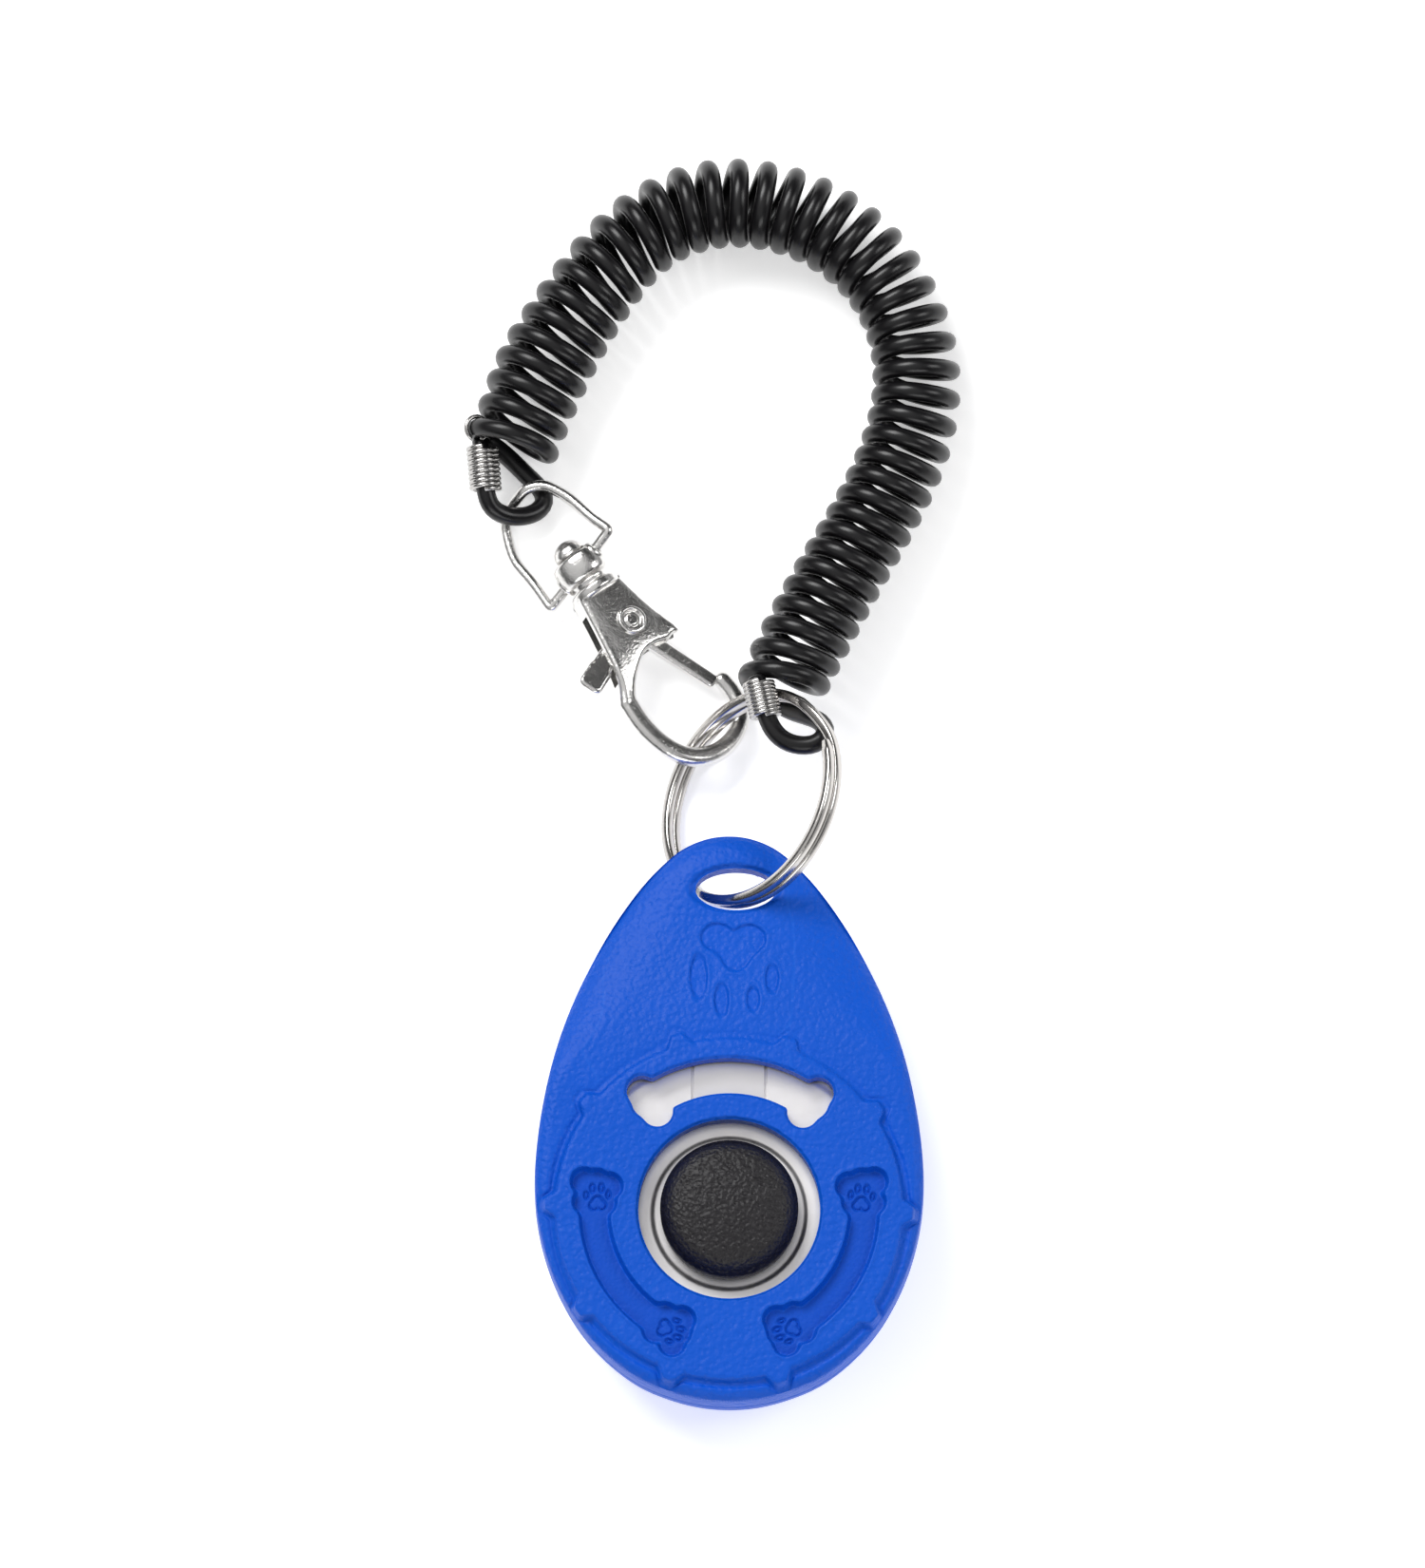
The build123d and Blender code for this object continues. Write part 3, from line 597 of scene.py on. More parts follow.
def top_z(points):
    """Height of the front cover's top."""
    y = points[:, 1]
    r = np.hypot(points[:, 0], y)
    z = shell_z(points)
    # raised dial, lower toward +Y and round its edge
    edge = dial_edge(points)
    dial = smooth_step(edge, -0.06, 0.40)
    dial_z = (15.0 - 0.36 * smooth_step(y, 8, 20) * smooth_step(r, 14, 20)
              - 0.25 * (1 - smooth_step(edge, 0.0, 1.1)) ** 2)
    z = z * (1 - dial) + np.maximum(z + 0.06, dial_z) * dial
    # soft moat outside the dial, fading toward +Y
    moat = swell(edge, height=0.30, at=-0.38, width=0.34)
    z -= moat * (1 - 0.75 * smooth_step(y, 6, 17))
    for d in side_grooves(points):
        z -= dent(d, depth=1.15, soft=0.10, full=0.34)
        z += swell(d, height=0.07, at=0.25, width=0.22)
    for place in SMALL_PAWS:
        d = paw(points, *place)
        z -= dent(d, depth=0.10, soft=0.06, full=0.14)
        z -= swell(d, height=0.30, at=-0.02, width=0.13)
    z -= dent(bone_window(points), depth=0.30, soft=0.45, full=0.02, power=1.5)
    d = slope_print(points)
    z -= dent(d, depth=0.30, soft=0.12, full=0.22)
    z += swell(d, height=0.05, at=0.30, width=0.22)
    z -= dent(key_slot(points), depth=0.55, soft=0.75, full=0.0, power=1.6)
    # rounded lip of the button hole
    z -= dent(r - HOLE_RADIUS, depth=0.35, soft=0.5, full=0.0, power=2)
    return z


# (y, z) of the underside, which rises toward the narrow end
BACK_SLOPE = np.array([(-30, 0), (22.0, 0), (24.0, 0.35), (26.5, 1.5), (30.0, 4.2), (33.2, 7.3),
                       (35.2, 8.6), (60, 8.6)])


def back_z(points):
    """The underside's slope, averaged over five stations 0.5 apart."""
    return sum(np.interp(points[:, 1] + shift, *BACK_SLOPE.T)
               for shift in (0, -1.0, 1.0, -0.5, 0.5)) / 5


def back_floor_z(points):
    """Underside with the slot's lip and a shallow round recess with ring ribs."""
    z = back_z(points) + dent(key_slot(points), depth=0.4, soft=0.7, full=0.0, power=1.6)
    recess = ellipse(points, 0, 0, 13.5, 12.5)
    z += dent(recess, depth=0.3, soft=0.0, full=0.5)
    pitch = 2.2
    rib = np.abs((np.hypot(points[:, 0], points[:, 1]) + pitch / 2) % pitch - pitch / 2)
    return z - 0.18 * (1 - smooth_step(rib, 0.15, 0.5)) * smooth_step(-recess, 1.2, 1.8)


# ------------------------------------------------------------------ casing covers
def snap_hole(verts, faces, shape, near, surface_z, end_z):
    """Opens a surface exactly along shape = 0 and adds a wall from its edge to end_z."""
    candidates = np.where(near(verts))[0]
    distance = np.full(len(verts), 9.0)
    distance[candidates] = shape(verts[candidates, :2])
    inside = distance < 0
    faces = faces[inside[faces].sum(1) < 4]
    crossing = faces[inside[faces].sum(1) > 0]
    moved = np.unique(crossing[inside[crossing]])
    # Newton steps onto the edge
    points = verts[moved, :2].copy()
    h = 1e-3
    for _ in range(4):
        slope = np.stack([(shape(points + step) - shape(points - step)) / (2 * h)
                          for step in ([h, 0], [0, h])], 1)
        scale = shape(points) / np.maximum((slope ** 2).sum(1), 0.05)
        points = points - scale[:, None] * slope
    verts = verts.copy()
    verts[moved, :2] = points
    verts[moved, 2] = surface_z(points)
    on_edge = np.zeros(len(verts), bool)
    on_edge[moved] = True
    rim = rim_edges(faces[on_edge[faces].sum(1) >= 2])
    rim = rim[on_edge[rim].all(1)]
    ids = np.unique(rim)
    lower = -np.ones(len(verts), int)
    lower[ids] = len(verts) + np.arange(len(ids))
    wall = verts[ids].copy()
    wall[:, 2] = end_z
    quads = np.column_stack([rim[:, 1], rim[:, 0], lower[rim[:, 0]], lower[rim[:, 1]]])
    return np.concatenate([verts, wall]), np.concatenate([faces, quads])


def at_height(xy, z):
    return np.column_stack([xy, np.full(AROUND, z)])


# (z, inset) of each wall's rows, starting at the parting plane
FRONT_WALL = [(9.53, 1.9), (9.53, 0.22), (9.62, 0.06), (9.8, 0.0), (10.8, 0.02)]
BACK_WALL = [(9.47, 1.9), (9.47, 0.22), (9.38, 0.06), (9.2, 0.0), (7.6, 0.1), (6.0, 0.26),
             (4.6, 0.52), (3.4, 0.86), (2.4, 1.3), (1.5, 1.9), (0.8, 2.65), (0.3, 3.45),
             (0.06, 4.2)]
BACK_WALL_TOP = 9.2              # below this the wall is squeezed onto the sloping underside


def build_front_cover():
    start = inset(0.12)
    angles = np.arctan2(OUTLINE[:, 1], OUTLINE[:, 0])
    hole = HOLE_RADIUS * np.stack([np.cos(angles), np.sin(angles)], 1)
    spacing = np.linspace(0, 1, 300) ** 0.92
    top = start[:, None] + (hole - start)[:, None] * spacing[None, :, None]
    points = top.reshape(-1, 2)
    z = top_z(points).reshape(AROUND, -1)
    wall = [at_height(inset(d), height) for height, d in FRONT_WALL]
    wall_top = FRONT_WALL[-1][0]
    wall.append(at_height(inset(0.05), wall_top + (z[:, 0] - wall_top) * 0.6))
    hole_wall = [at_height(hole, np.minimum(z[:, -1] - 0.15, 14.2)),
                 at_height(hole, 12.2), at_height(hole * 1.03, 12.15)]
    grid = np.concatenate([np.stack(wall, 1), np.dstack([top, z[:, :, None]]),
                           np.stack(hole_wall, 1)], 1)
    verts = grid.reshape(-1, 3)
    faces = np.array(grid_faces(AROUND, grid.shape[1], wrap=True))
    verts, faces = snap_hole(verts, faces, bone_window, near_window, top_z, 12.12)
    verts, faces = snap_hole(verts, faces, key_slot, near_key_slot, top_z, 9.5)
    # the groove floors take the second material: a rougher, textured blue, painted darker than
    # the case as shade in the recess
    groove = np.zeros(grid.shape[:2], int)
    floor = np.minimum(*side_grooves(points)) < -0.42
    groove[:, len(wall):len(wall) + len(spacing)] = floor.reshape(z.shape)
    groove = np.pad(groove.reshape(-1), (0, len(verts) - groove.size))
    cover = mesh_object("case_front", verts, faces, CASE_BLUE, SHADED_GROOVE_BLUE,
                        face_materials=groove[faces].sum(1) >= 3)
    install(cover, "casing", "front_cover")


def build_back_cover():
    wall = []
    for height, d in BACK_WALL:
        row = inset(d)
        if height < BACK_WALL_TOP:
            drop = (BACK_WALL_TOP - back_z(row)) * (BACK_WALL_TOP - height) / BACK_WALL_TOP
            height = BACK_WALL_TOP - drop
        wall.append(at_height(row, height))
    start = inset(BACK_WALL[-1][1])
    centre = np.array([0.0, 6.0])
    spacing = np.linspace(0, 1, 140)[1:] * 0.995
    floor = start[:, None] + (centre - start)[:, None] * spacing[None, :, None]
    z = back_floor_z(floor.reshape(-1, 2)).reshape(AROUND, -1)
    grid = np.concatenate([np.stack(wall, 1), np.dstack([floor, z[:, :, None]])], 1)
    verts, faces = snap_hole(
        grid.reshape(-1, 3), np.array(grid_faces(AROUND, grid.shape[1], wrap=True)),
        key_slot, lambda v: near_key_slot(v) & (v[:, 2] < 9.3), back_floor_z, 9.48)
    cover = mesh_object("case_back", verts, faces[:, ::-1], CASE_BLUE)
    # close the small hole left at the centre (metres)
    bm = bmesh.new()
    bm.from_mesh(cover.data)
    rim = [e for e in bm.edges if e.is_boundary
           and all(abs(v.co.x) < 0.0008 and abs(v.co.y - 0.006) < 0.0012 for v in e.verts)]
    bmesh.ops.holes_fill(bm, edges=rim, sides=2000)
    bm.to_mesh(cover.data)
    bm.free()
    install(cover, "casing", "back_cover")


# ------------------------------------------------------------------ button
def build_button():
    top, dome_radius, dome_angle = 18.2, 24.0, 14.2      # dome_angle in degrees
    edge_radius, edge_steps = 2.0, 14
    profile = [(0.0, top)]
    for a in np.radians(np.linspace(2, dome_angle, 14)):
        profile.append((dome_radius * math.sin(a), top - dome_radius * (1 - math.cos(a))))
    r, z = profile[-1]
    r -= edge_radius * math.sin(math.radians(dome_angle))
    z -= edge_radius * math.cos(math.radians(dome_angle))
    for k in range(1, edge_steps + 1):
        a = math.radians(dome_angle + (90 - dome_angle) * k / edge_steps)
        profile.append((r + edge_radius * math.sin(a), z + edge_radius * math.cos(a)))
    profile += [(7.87, 15.0), (7.84, 13.2), (7.8, 12.3), (7.65, 12.12), (6.4, 12.1),
                (6.4, 13.5), (2.9, 13.5), (2.9, 11.65), (0.0, 11.65)]
    button = joined("thumb_button", [lathe(profile, (0, 0, 0), (0, 0, 1), 160)], BUTTON_BLACK)
    install(button, "button", "button")


# ------------------------------------------------------------------ click plate
# A stamped round sheet with a tongue between two narrow slots.
TONGUE_X, SLIT_X = 4.01, 4.35    # slots lie between these, on both sides
TONGUE_Y, SLIT_END_Y = 10.91, 19.51
SHEET_THICKNESS = 0.35


def plate_z(x, y):
    r = np.hypot(x, y)
    z = (11.6 - 0.22 * (1 - smooth_step(r, 8.5, 9.0)) - 0.05 * (1 - smooth_step(r, 8.9, 10.0))
         - 0.06 * smooth_step(r, 17.6, 18.4))
    tongue = (np.abs(x) < TONGUE_X) & (y > TONGUE_Y)
    z = np.where(tongue, z - 0.10 - 0.34 * (1 - smooth_step(y, 11.0, 17.5)), z)
    slot = (np.abs(x) > TONGUE_X) & (np.abs(x) < SLIT_X) & (y > TONGUE_Y) & (y < SLIT_END_Y)
    return np.where(slot, z - 0.7, z)


def plate_lines(*edges):
    """Even grid lines, plus a close pair astride each sharp edge."""
    pairs = [[edge - 0.01, edge + 0.01] for edge in edges]
    return np.unique(np.round(np.concatenate([np.linspace(-18.9, 18.9, 253)] + pairs), 4))


def build_click_plate():
    xs = plate_lines(-SLIT_X, -TONGUE_X, TONGUE_X, SLIT_X)
    ys = plate_lines(TONGUE_Y, SLIT_END_Y)
    x, y = np.meshgrid(xs, ys, indexing="ij")
    upper = np.dstack([x, y, plate_z(x, y)]).reshape(-1, 3)
    lower = upper.copy()
    lower[:, 2] = np.minimum(upper[:, 2] - SHEET_THICKNESS, 11.2)
    quads = np.array(grid_faces(len(xs), len(ys)))
    r = np.hypot(*upper[quads][:, :, :2].mean(1).T)
    quads = quads[(r < 18.8) & (r > 2.5)]
    rim, shift = rim_edges(quads), len(upper)
    verts = np.concatenate([upper, lower])
    faces = np.concatenate([
        quads, quads[:, ::-1] + shift,
        np.column_stack([rim[:, 1], rim[:, 0], rim[:, 0] + shift, rim[:, 1] + shift])])
    used = np.unique(faces)
    renumber = -np.ones(len(verts), int)
    renumber[used] = np.arange(len(used))
    # flat bar past the sheet's +Y edge
    bar = [(x, y, z) for z in (11.22, 11.58)
           for x, y in ((-3.9, 18.0), (3.9, 18.0), (3.9, 24.9), (-3.9, 24.9))]
    bar_faces = [(0, 3, 2, 1), (4, 5, 6, 7), (0, 1, 5, 4), (1, 2, 6, 5), (2, 3, 7, 6),
                 (3, 0, 4, 7)]
    plate = joined("click_sheet", [(verts[used], renumber[faces].tolist()), (bar, bar_faces)],
                   CLICK_STEEL)
    install(plate, "click_plate", "click_plate")


# ------------------------------------------------------------------ split ring
def build_split_ring():
    """One flattened wire in two stacked turns."""
    centre, radius = np.array([2.53, 48.46, 9.85]), 12.4
    tilt = math.radians(47.5)
    first = unit((0.4205, 0.8906, 0.1731))
    side = np.array([0.9073, -0.4128, -0.0802])
    up = np.array([0, -0.1908, 0.9816])
    second, axis, _ = axes_about(first, side * math.cos(tilt) + up * math.sin(tilt))
    axis = np.cross(first, second)
    gap, start = 34.0, 40.0          # degrees
    stack = 0.61                     # each turn's offset along the axis
    turn = np.radians(np.linspace(start, start + 720 - gap, 620))
    degrees = np.degrees(turn) - start
    rise = -stack + 2 * stack * smooth_step(degrees, 360 - gap - 1, 360 + 1)
    # wire section: half width, half height, corner radius
    half_width, half_height, corner = 0.6, 0.575, 0.36
    section = []
    for sx, sy, first_angle in ((1, 1, 0), (-1, 1, 90), (-1, -1, 180), (1, -1, 270)):
        for k in range(5):
            a = math.radians(first_angle + 90 * k / 4)
            section.append((sx * (half_width - corner) + corner * math.cos(a),
                            sy * (half_height - corner) + corner * math.sin(a)))
    section = np.array(section)
    taper = np.ones(len(turn))
    taper[:6] = np.linspace(0.72, 1, 6)
    taper[-6:] = np.linspace(1, 0.72, 6)
    taper = taper[:, None, None]
    verts = (centre
             + around(turn, first, second)[:, None] * (radius + section[None, :, :1] * taper)
             + axis * (rise[:, None, None] + section[None, :, 1:] * taper))
    rings, sides = len(turn), len(section)
    faces = band_faces(rings, sides)
    faces.append(tuple(range(sides)))
    faces.append(tuple(range((rings - 1) * sides, rings * sides))[::-1])
    ring = joined("key_split_ring", [(verts.reshape(-1, 3), faces)], RING_NICKEL)
    install(ring, "ring", "split_ring")


# ------------------------------------------------------------------ wrist coil
# (x, y) where each turn meets the outside and the inside of the bent coil,
# from the clasp end round to the key-ring end.
COIL_OUTSIDE = np.array([
    (-29.23, 92.37), (-27.81, 95.41), (-26.85, 98.3), (-25.82, 101.04), (-24.46, 103.65),
    (-22.85, 106.19), (-21.13, 108.75), (-19.28, 111.33), (-17.23, 113.91), (-14.92, 116.47),
    (-12.29, 118.81), (-9.29, 120.74), (-6.02, 122.16), (-2.57, 123.0), (0.94, 123.23),
    (4.4, 122.92), (7.72, 122.18), (10.85, 121.03), (13.77, 119.48), (16.45, 117.53),
    (18.86, 115.18), (20.97, 112.47), (22.74, 109.44), (24.13, 106.2), (25.09, 102.81),
    (25.57, 99.37), (25.57, 95.95), (25.14, 92.67), (24.38, 89.61), (23.4, 86.85),
    (22.27, 84.31), (21.09, 81.91), (19.88, 79.61), (18.66, 77.38), (17.44, 75.17),
    (16.24, 72.97), (15.08, 70.76), (13.94, 68.54), (12.83, 66.31), (11.72, 64.07),
    (10.62, 61.82)])
COIL_INSIDE = np.array([
    (-20.54, 89.63), (-19.51, 92.29), (-18.45, 94.83), (-17.35, 97.27), (-16.21, 99.62),
    (-15.02, 101.9), (-13.77, 104.1), (-12.43, 106.25), (-10.97, 108.33), (-9.37, 110.33),
    (-7.58, 112.07), (-5.59, 113.4), (-3.44, 114.3), (-1.18, 114.81), (1.13, 114.94),
    (3.45, 114.72), (5.73, 114.17), (7.91, 113.33), (9.96, 112.21), (11.83, 110.84),
    (13.47, 109.24), (14.86, 107.44), (15.96, 105.47), (16.77, 103.36), (17.27, 101.13),
    (17.45, 98.82), (17.31, 96.45), (16.88, 94.05), (16.21, 91.66), (15.36, 89.29),
    (14.36, 86.99), (13.28, 84.76), (12.12, 82.59), (10.91, 80.44), (9.67, 78.28),
    (8.42, 76.08), (7.17, 73.79), (5.92, 71.4), (4.66, 68.86), (3.39, 66.15), (2.09, 63.22)])
TURNS = len(COIL_OUTSIDE)
# The axis lifts over the last turns, toward the key ring.
COIL_AXIS_Z = 5.3 + 3.4 * np.clip((np.arange(TURNS) - 27) / 13.0, 0, 1) ** 1.6
COIL_HALF_HEIGHT = 4.15
# (x, y, z) of the straight cord ends, through the loop at the bail and the loop at the ring
CLASP_END = [
    (-28.44, 91.2, 5.05), (-28.36, 90.4, 5.0), (-28.13, 87.7, 4.85), (-27.86, 84.95, 4.7),
    (-27.31, 83.61, 4.2), (-25.9, 82.88, 3.4), (-23.94, 82.79, 2.7), (-22.2, 83.41, 2.1),
    (-21.22, 84.56, 1.6), (-21.33, 85.83, 1.35), (-22.2, 86.91, 1.2), (-23.5, 88.19, 1.15),
    (-24.92, 89.63, 1.15), (-26.4, 90.95, 1.15), (-28.0, 92.0, 1.75), (-28.95, 92.45, 3.3)]
RING_END = [
    (2.3, 62.75, 6.6), (3.1, 62.2, 5.5), (4.2, 61.55, 5.35), (5.6, 60.2, 6.4),
    (7.2, 58.95, 8.2), (8.9, 58.0, 10.2), (10.5, 57.0, 11.7), (11.1, 55.6, 12.5),
    (10.1, 54.35, 12.7), (8.2, 54.1, 12.55), (6.2, 54.75, 12.45), (4.85, 56.2, 12.45),
    (4.0, 58.6, 12.45), (3.3, 61.2, 12.45), (3.1, 61.9, 12.45)]


def at_turn(stations, turn):
    """Uniform Catmull-Rom value of a per-turn table at fractional turns."""
    turn = np.clip(turn, 0, TURNS - 1.0001)
    i = turn.astype(int)
    t = (turn - i)[:, None]
    p0, p1, p2, p3 = (stations[np.clip(i + k, 0, TURNS - 1)] for k in (-1, 0, 1, 2))
    return 0.5 * (2 * p1 + (-p0 + p2) * t + (2 * p0 - 5 * p1 + 4 * p2 - p3) * t * t
                  + (-p0 + 3 * p1 - 3 * p2 + p3) * t ** 3)


def coil_helix():
    turn = np.linspace(0.0, 40.5, 40 * 40 + 21)
    swing = np.cos(2 * np.pi * turn)[:, None]
    xy = (0.5 * (1 + swing) * at_turn(COIL_OUTSIDE, turn)
          + 0.5 * (1 - swing) * at_turn(COIL_INSIDE, turn - 0.5))
    z = at_turn(COIL_AXIS_Z[:, None], turn)[:, 0]
    return np.column_stack([xy, z + COIL_HALF_HEIGHT * np.sin(2 * np.pi * turn)])


HELIX = coil_helix()


def build_cord():
    # each end's curve runs onto the helix, and the shared span is cut off
    per_span = 10
    shared = per_span + 1
    clasp_end = spline(CLASP_END + [tuple(HELIX[0]), tuple(HELIX[3])], per_span)[:-shared]
    ring_end = spline([tuple(HELIX[-4]), tuple(HELIX[-1])] + RING_END, per_span)[shared:]
    path = smooth_path(resample(np.vstack([clasp_end, HELIX, ring_end]), 0.62), 2)
    cord = joined("wrist_coil_cord", [tube(path, 1.08, 18)], CORD_BLACK)
    install(cord, "coil", "coil_cord")


def build_crimp(name, start, end, node, extra=()):
    """Wire wound round the doubled cord, with finer turns inside that fill the gap."""
    start, end = np.array(start, float), np.array(end, float)
    x, y, z = axes_about(end - start)
    turns, per_turn, wire = 9, 40, 0.30
    angle = np.linspace(0, 2 * np.pi * turns, turns * per_turn)
    height = wire + (np.linalg.norm(end - start) - 2 * wire) * angle / angle[-1]
    parts = [tube(start + radius * around(angle, x, y) + height[:, None] * z, thickness, sides)
             for radius, thickness, sides in ((1.60, wire, 10), (1.33, 0.2, 6))]
    crimp = joined(name, parts + list(extra), CRIMP_WIRE)
    install(crimp, "coil", node)


def build_crimps():
    # an open hoop round the cord where the helix starts
    x, y, _ = axes_about(HELIX[6] - HELIX[0], (0.2, -1, 0))
    hoop = HELIX[2] + 1.36 * around(np.radians(np.linspace(20, 320, 24)), x, y)
    hoop = smooth_path(resample(spline(hoop, 8), 0.15), 2)
    build_crimp("upper_crimp_wire", (-27.9, 85.15, 4.7), (-28.38, 90.75, 5.02), "upper_crimp",
                extra=[tube(hoop, 0.27, 10)])
    build_crimp("lower_crimp_wire", (4.3, 57.2, 12.45), (3.25, 61.75, 12.45), "lower_crimp")


# ------------------------------------------------------------------ bail
# (x, y, z) along the wire loop; both ends turn in along one line, the pin.
BAIL = [(-20.46, 72.18, 2.0), (-22.63, 75.38, 1.5), (-24.59, 77.9, 1.05), (-25.35, 80.16, 0.85),
        (-25.63, 81.83, 0.8), (-25.46, 83.44, 1.1), (-24.48, 84.83, 1.9), (-23.29, 85.97, 2.9),
        (-21.33, 86.31, 3.4), (-19.48, 85.48, 3.7), (-17.85, 84.31, 4.0), (-15.89, 82.44, 4.5),
        (-13.71, 80.79, 5.0)]
BAIL_START, BAIL_END = np.array(BAIL[0]), np.array(BAIL[-1])
PIN = unit(BAIL_END - BAIL_START)
SWIVEL = (BAIL_START + BAIL_END) / 2     # swivel centre


def build_bail():
    reach = PIN * 1.35
    path = np.vstack([np.linspace(SWIVEL - reach, BAIL_START, 16)[:-1],
                      resample(spline(BAIL, 10), 0.3),
                      np.linspace(BAIL_END, SWIVEL + reach, 16)[1:]])
    path = smooth_path(resample(path, 0.22), 4)
    bail = joined("bail_wire", [tube(path, 0.65, 20)], CLASP_NICKEL)
    install(bail, "bail", "bail")


# ------------------------------------------------------------------ swivel
# Profiles are (radius, height); the clasp's length runs along ALONG, away from the bail.
ALONG = unit((0.582, -0.813, 0.0))


def build_swivel():
    puck = rounded([(0.74, -1.75), (2.2, -1.75), (2.85, -1.45), (3.05, -0.6), (3.05, 0.5),
                    (2.85, 1.25), (2.1, 1.7), (2.1, 2.28), (0.74, 2.28)], 0.35)
    puck_verts, puck_faces = lathe(puck, SWIVEL, ALONG, 96)
    thin = unit(np.cross(ALONG, PIN))
    offset = np.array(puck_verts) - SWIVEL
    puck_verts = offset - 0.22 * np.outer(offset @ thin, thin) + SWIVEL
    sleeve = rounded([(0.72, -3.1), (1.1, -3.1), (1.32, -2.8), (1.35, 2.8), (1.1, 3.1),
                      (0.72, 3.1)], 0.2)
    barrel = joined("swivel_barrel_body",
                    [lathe(sleeve, SWIVEL, PIN, 64), (puck_verts, puck_faces)], CLASP_NICKEL)
    install(barrel, "swivel", "swivel_barrel")

    radius, height, base = 1.95, 1.75, -2.0      # post head dome
    dome = [(radius * math.sin(a), base - height * math.cos(a))
            for a in np.radians(range(8, 91, 8))]
    profile = [(0.0, base - height)] + dome + [
        (radius, base), (1.7, -1.8), (0.75, -1.8), (0.75, 3.95), (1.3, 3.95), (1.3, 5.0),
        (0.0, 5.0)]
    post = joined("swivel_post_head", [lathe(profile, SWIVEL, ALONG, 64)], CLASP_NICKEL)
    install(post, "swivel", "swivel_post")


# ------------------------------------------------------------------ clasp
# The clasp is drawn in its own plane: (along, across) from the rivet, thickness on NORMAL.
RIVET = np.array([-11.69, 69.81, 3.5])
ACROSS_X, ACROSS_Y = 0.813, 0.582
ACROSS = unit((ACROSS_X, ACROSS_Y, -0.36))
NORMAL = unit(np.cross(ALONG, ACROSS))
ACROSS_STRETCH = 1.063           # from across as seen from above to across on the tilted plane


def to_plane(x, y):
    dx, dy = x - RIVET[0], y - RIVET[1]
    return np.array([dx * ALONG[0] + dy * ALONG[1],
                     (dx * ACROSS_X + dy * ACROSS_Y) * ACROSS_STRETCH])


def from_plane(points, height):
    points = np.asarray(points, float)
    height = np.broadcast_to(height, points.shape[:-1])
    return (RIVET + points[..., 0, None] * ALONG + points[..., 1, None] * ACROSS
            + height[..., None] * NORMAL)


def plane_curve(points, step):
    return resample(spline(points, 12), step)


def pillow(outline, thickness, edge):
    """A flat plate with round edges; thickness and edge radius are numbers or functions."""
    levels = 9
    p = np.asarray(outline, float)
    count = len(p)
    after = np.roll(p, -1, 0)
    tangent = after - np.roll(p, 1, 0)
    tangent /= np.linalg.norm(tangent, axis=1)[:, None] + 1e-12
    outward = np.stack([tangent[:, 1], -tangent[:, 0]], 1)
    if np.sum(p[:, 0] * after[:, 1] - after[:, 0] * p[:, 1]) < 0:
        outward = -outward
    thickness, edge = (value(p) if callable(value) else np.full(count, value)
                       for value in (thickness, edge))
    rings = []
    for side in (-1, 1):
        for k in range(levels)[::-side]:
            a = math.pi / 2 * (1 - k / (levels - 1))
            inward = (edge * (1 - math.cos(a)))[:, None]
            height = thickness / 2 - edge * (1 - math.sin(a))
            rings.append(from_plane(p - outward * inward, side * height))
    faces = band_faces(len(rings), count)
    faces.append(tuple(range(count))[::-1])
    faces.append(tuple(range((len(rings) - 1) * count, len(rings) * count)))
    return np.concatenate(rings), faces


# (x, y) centreline of the hook, from the head round to its tip
HOOK = [(-11.9, 60.9), (-9.93, 57.9), (-7.9, 55.9), (-5.7, 54.65), (-3.75, 54.35),
        (-1.55, 55.0), (0.2, 56.6), (1.18, 58.8), (1.2, 60.8), (0.25, 62.7), (-0.75, 63.9)]


def clasp_outline():
    centre = plane_curve([to_plane(*p) for p in HOOK], 0.22)
    tangent = np.gradient(centre, axis=0)
    tangent /= np.linalg.norm(tangent, axis=1)[:, None]
    side = np.stack([tangent[:, 1], -tangent[:, 0]], 1)
    half_width = (1.14 - 0.14 * np.linspace(0, 1, len(centre)) ** 2)[:, None]
    hook_out, hook_in = centre + side * half_width, centre - side * half_width
    tip = centre[-1] + half_width[-1] * around(np.radians(np.linspace(15, 165, 9)),
                                               side[-1], tangent[-1])
    # corners of the head: -X side and +X side, bail end then hook end
    left_top, left_low = to_plane(-17.6, 72.3), to_plane(-12.95, 62.6)
    right_top, right_low = to_plane(-13.35, 75.5), to_plane(-6.1, 69.3)
    outer = plane_curve([left_top, (left_top + left_low) / 2 + (0.0, 0.12), left_low,
                         hook_out[2]], 0.3)
    inner = plane_curve([hook_in[2], to_plane(-10.75, 63.6), to_plane(-10.0, 66.3),
                         to_plane(-8.6, 67.5), to_plane(-7.3, 68.1),
                         right_low + (0.0, -0.8)], 0.22)
    corner = right_low + [(0.1, -0.55), (0.12, -0.12), (-0.2, 0.02)]
    shoulder = plane_curve([right_top, (right_top + right_low) / 2 + (0.0, -0.15),
                            right_low + (-0.5, 0.02)], 0.3)[::-1]
    return np.vstack([outer[:-1], hook_out[2:], tip, hook_in[::-1][:-3], inner[1:], corner,
                      shoulder[1:]])


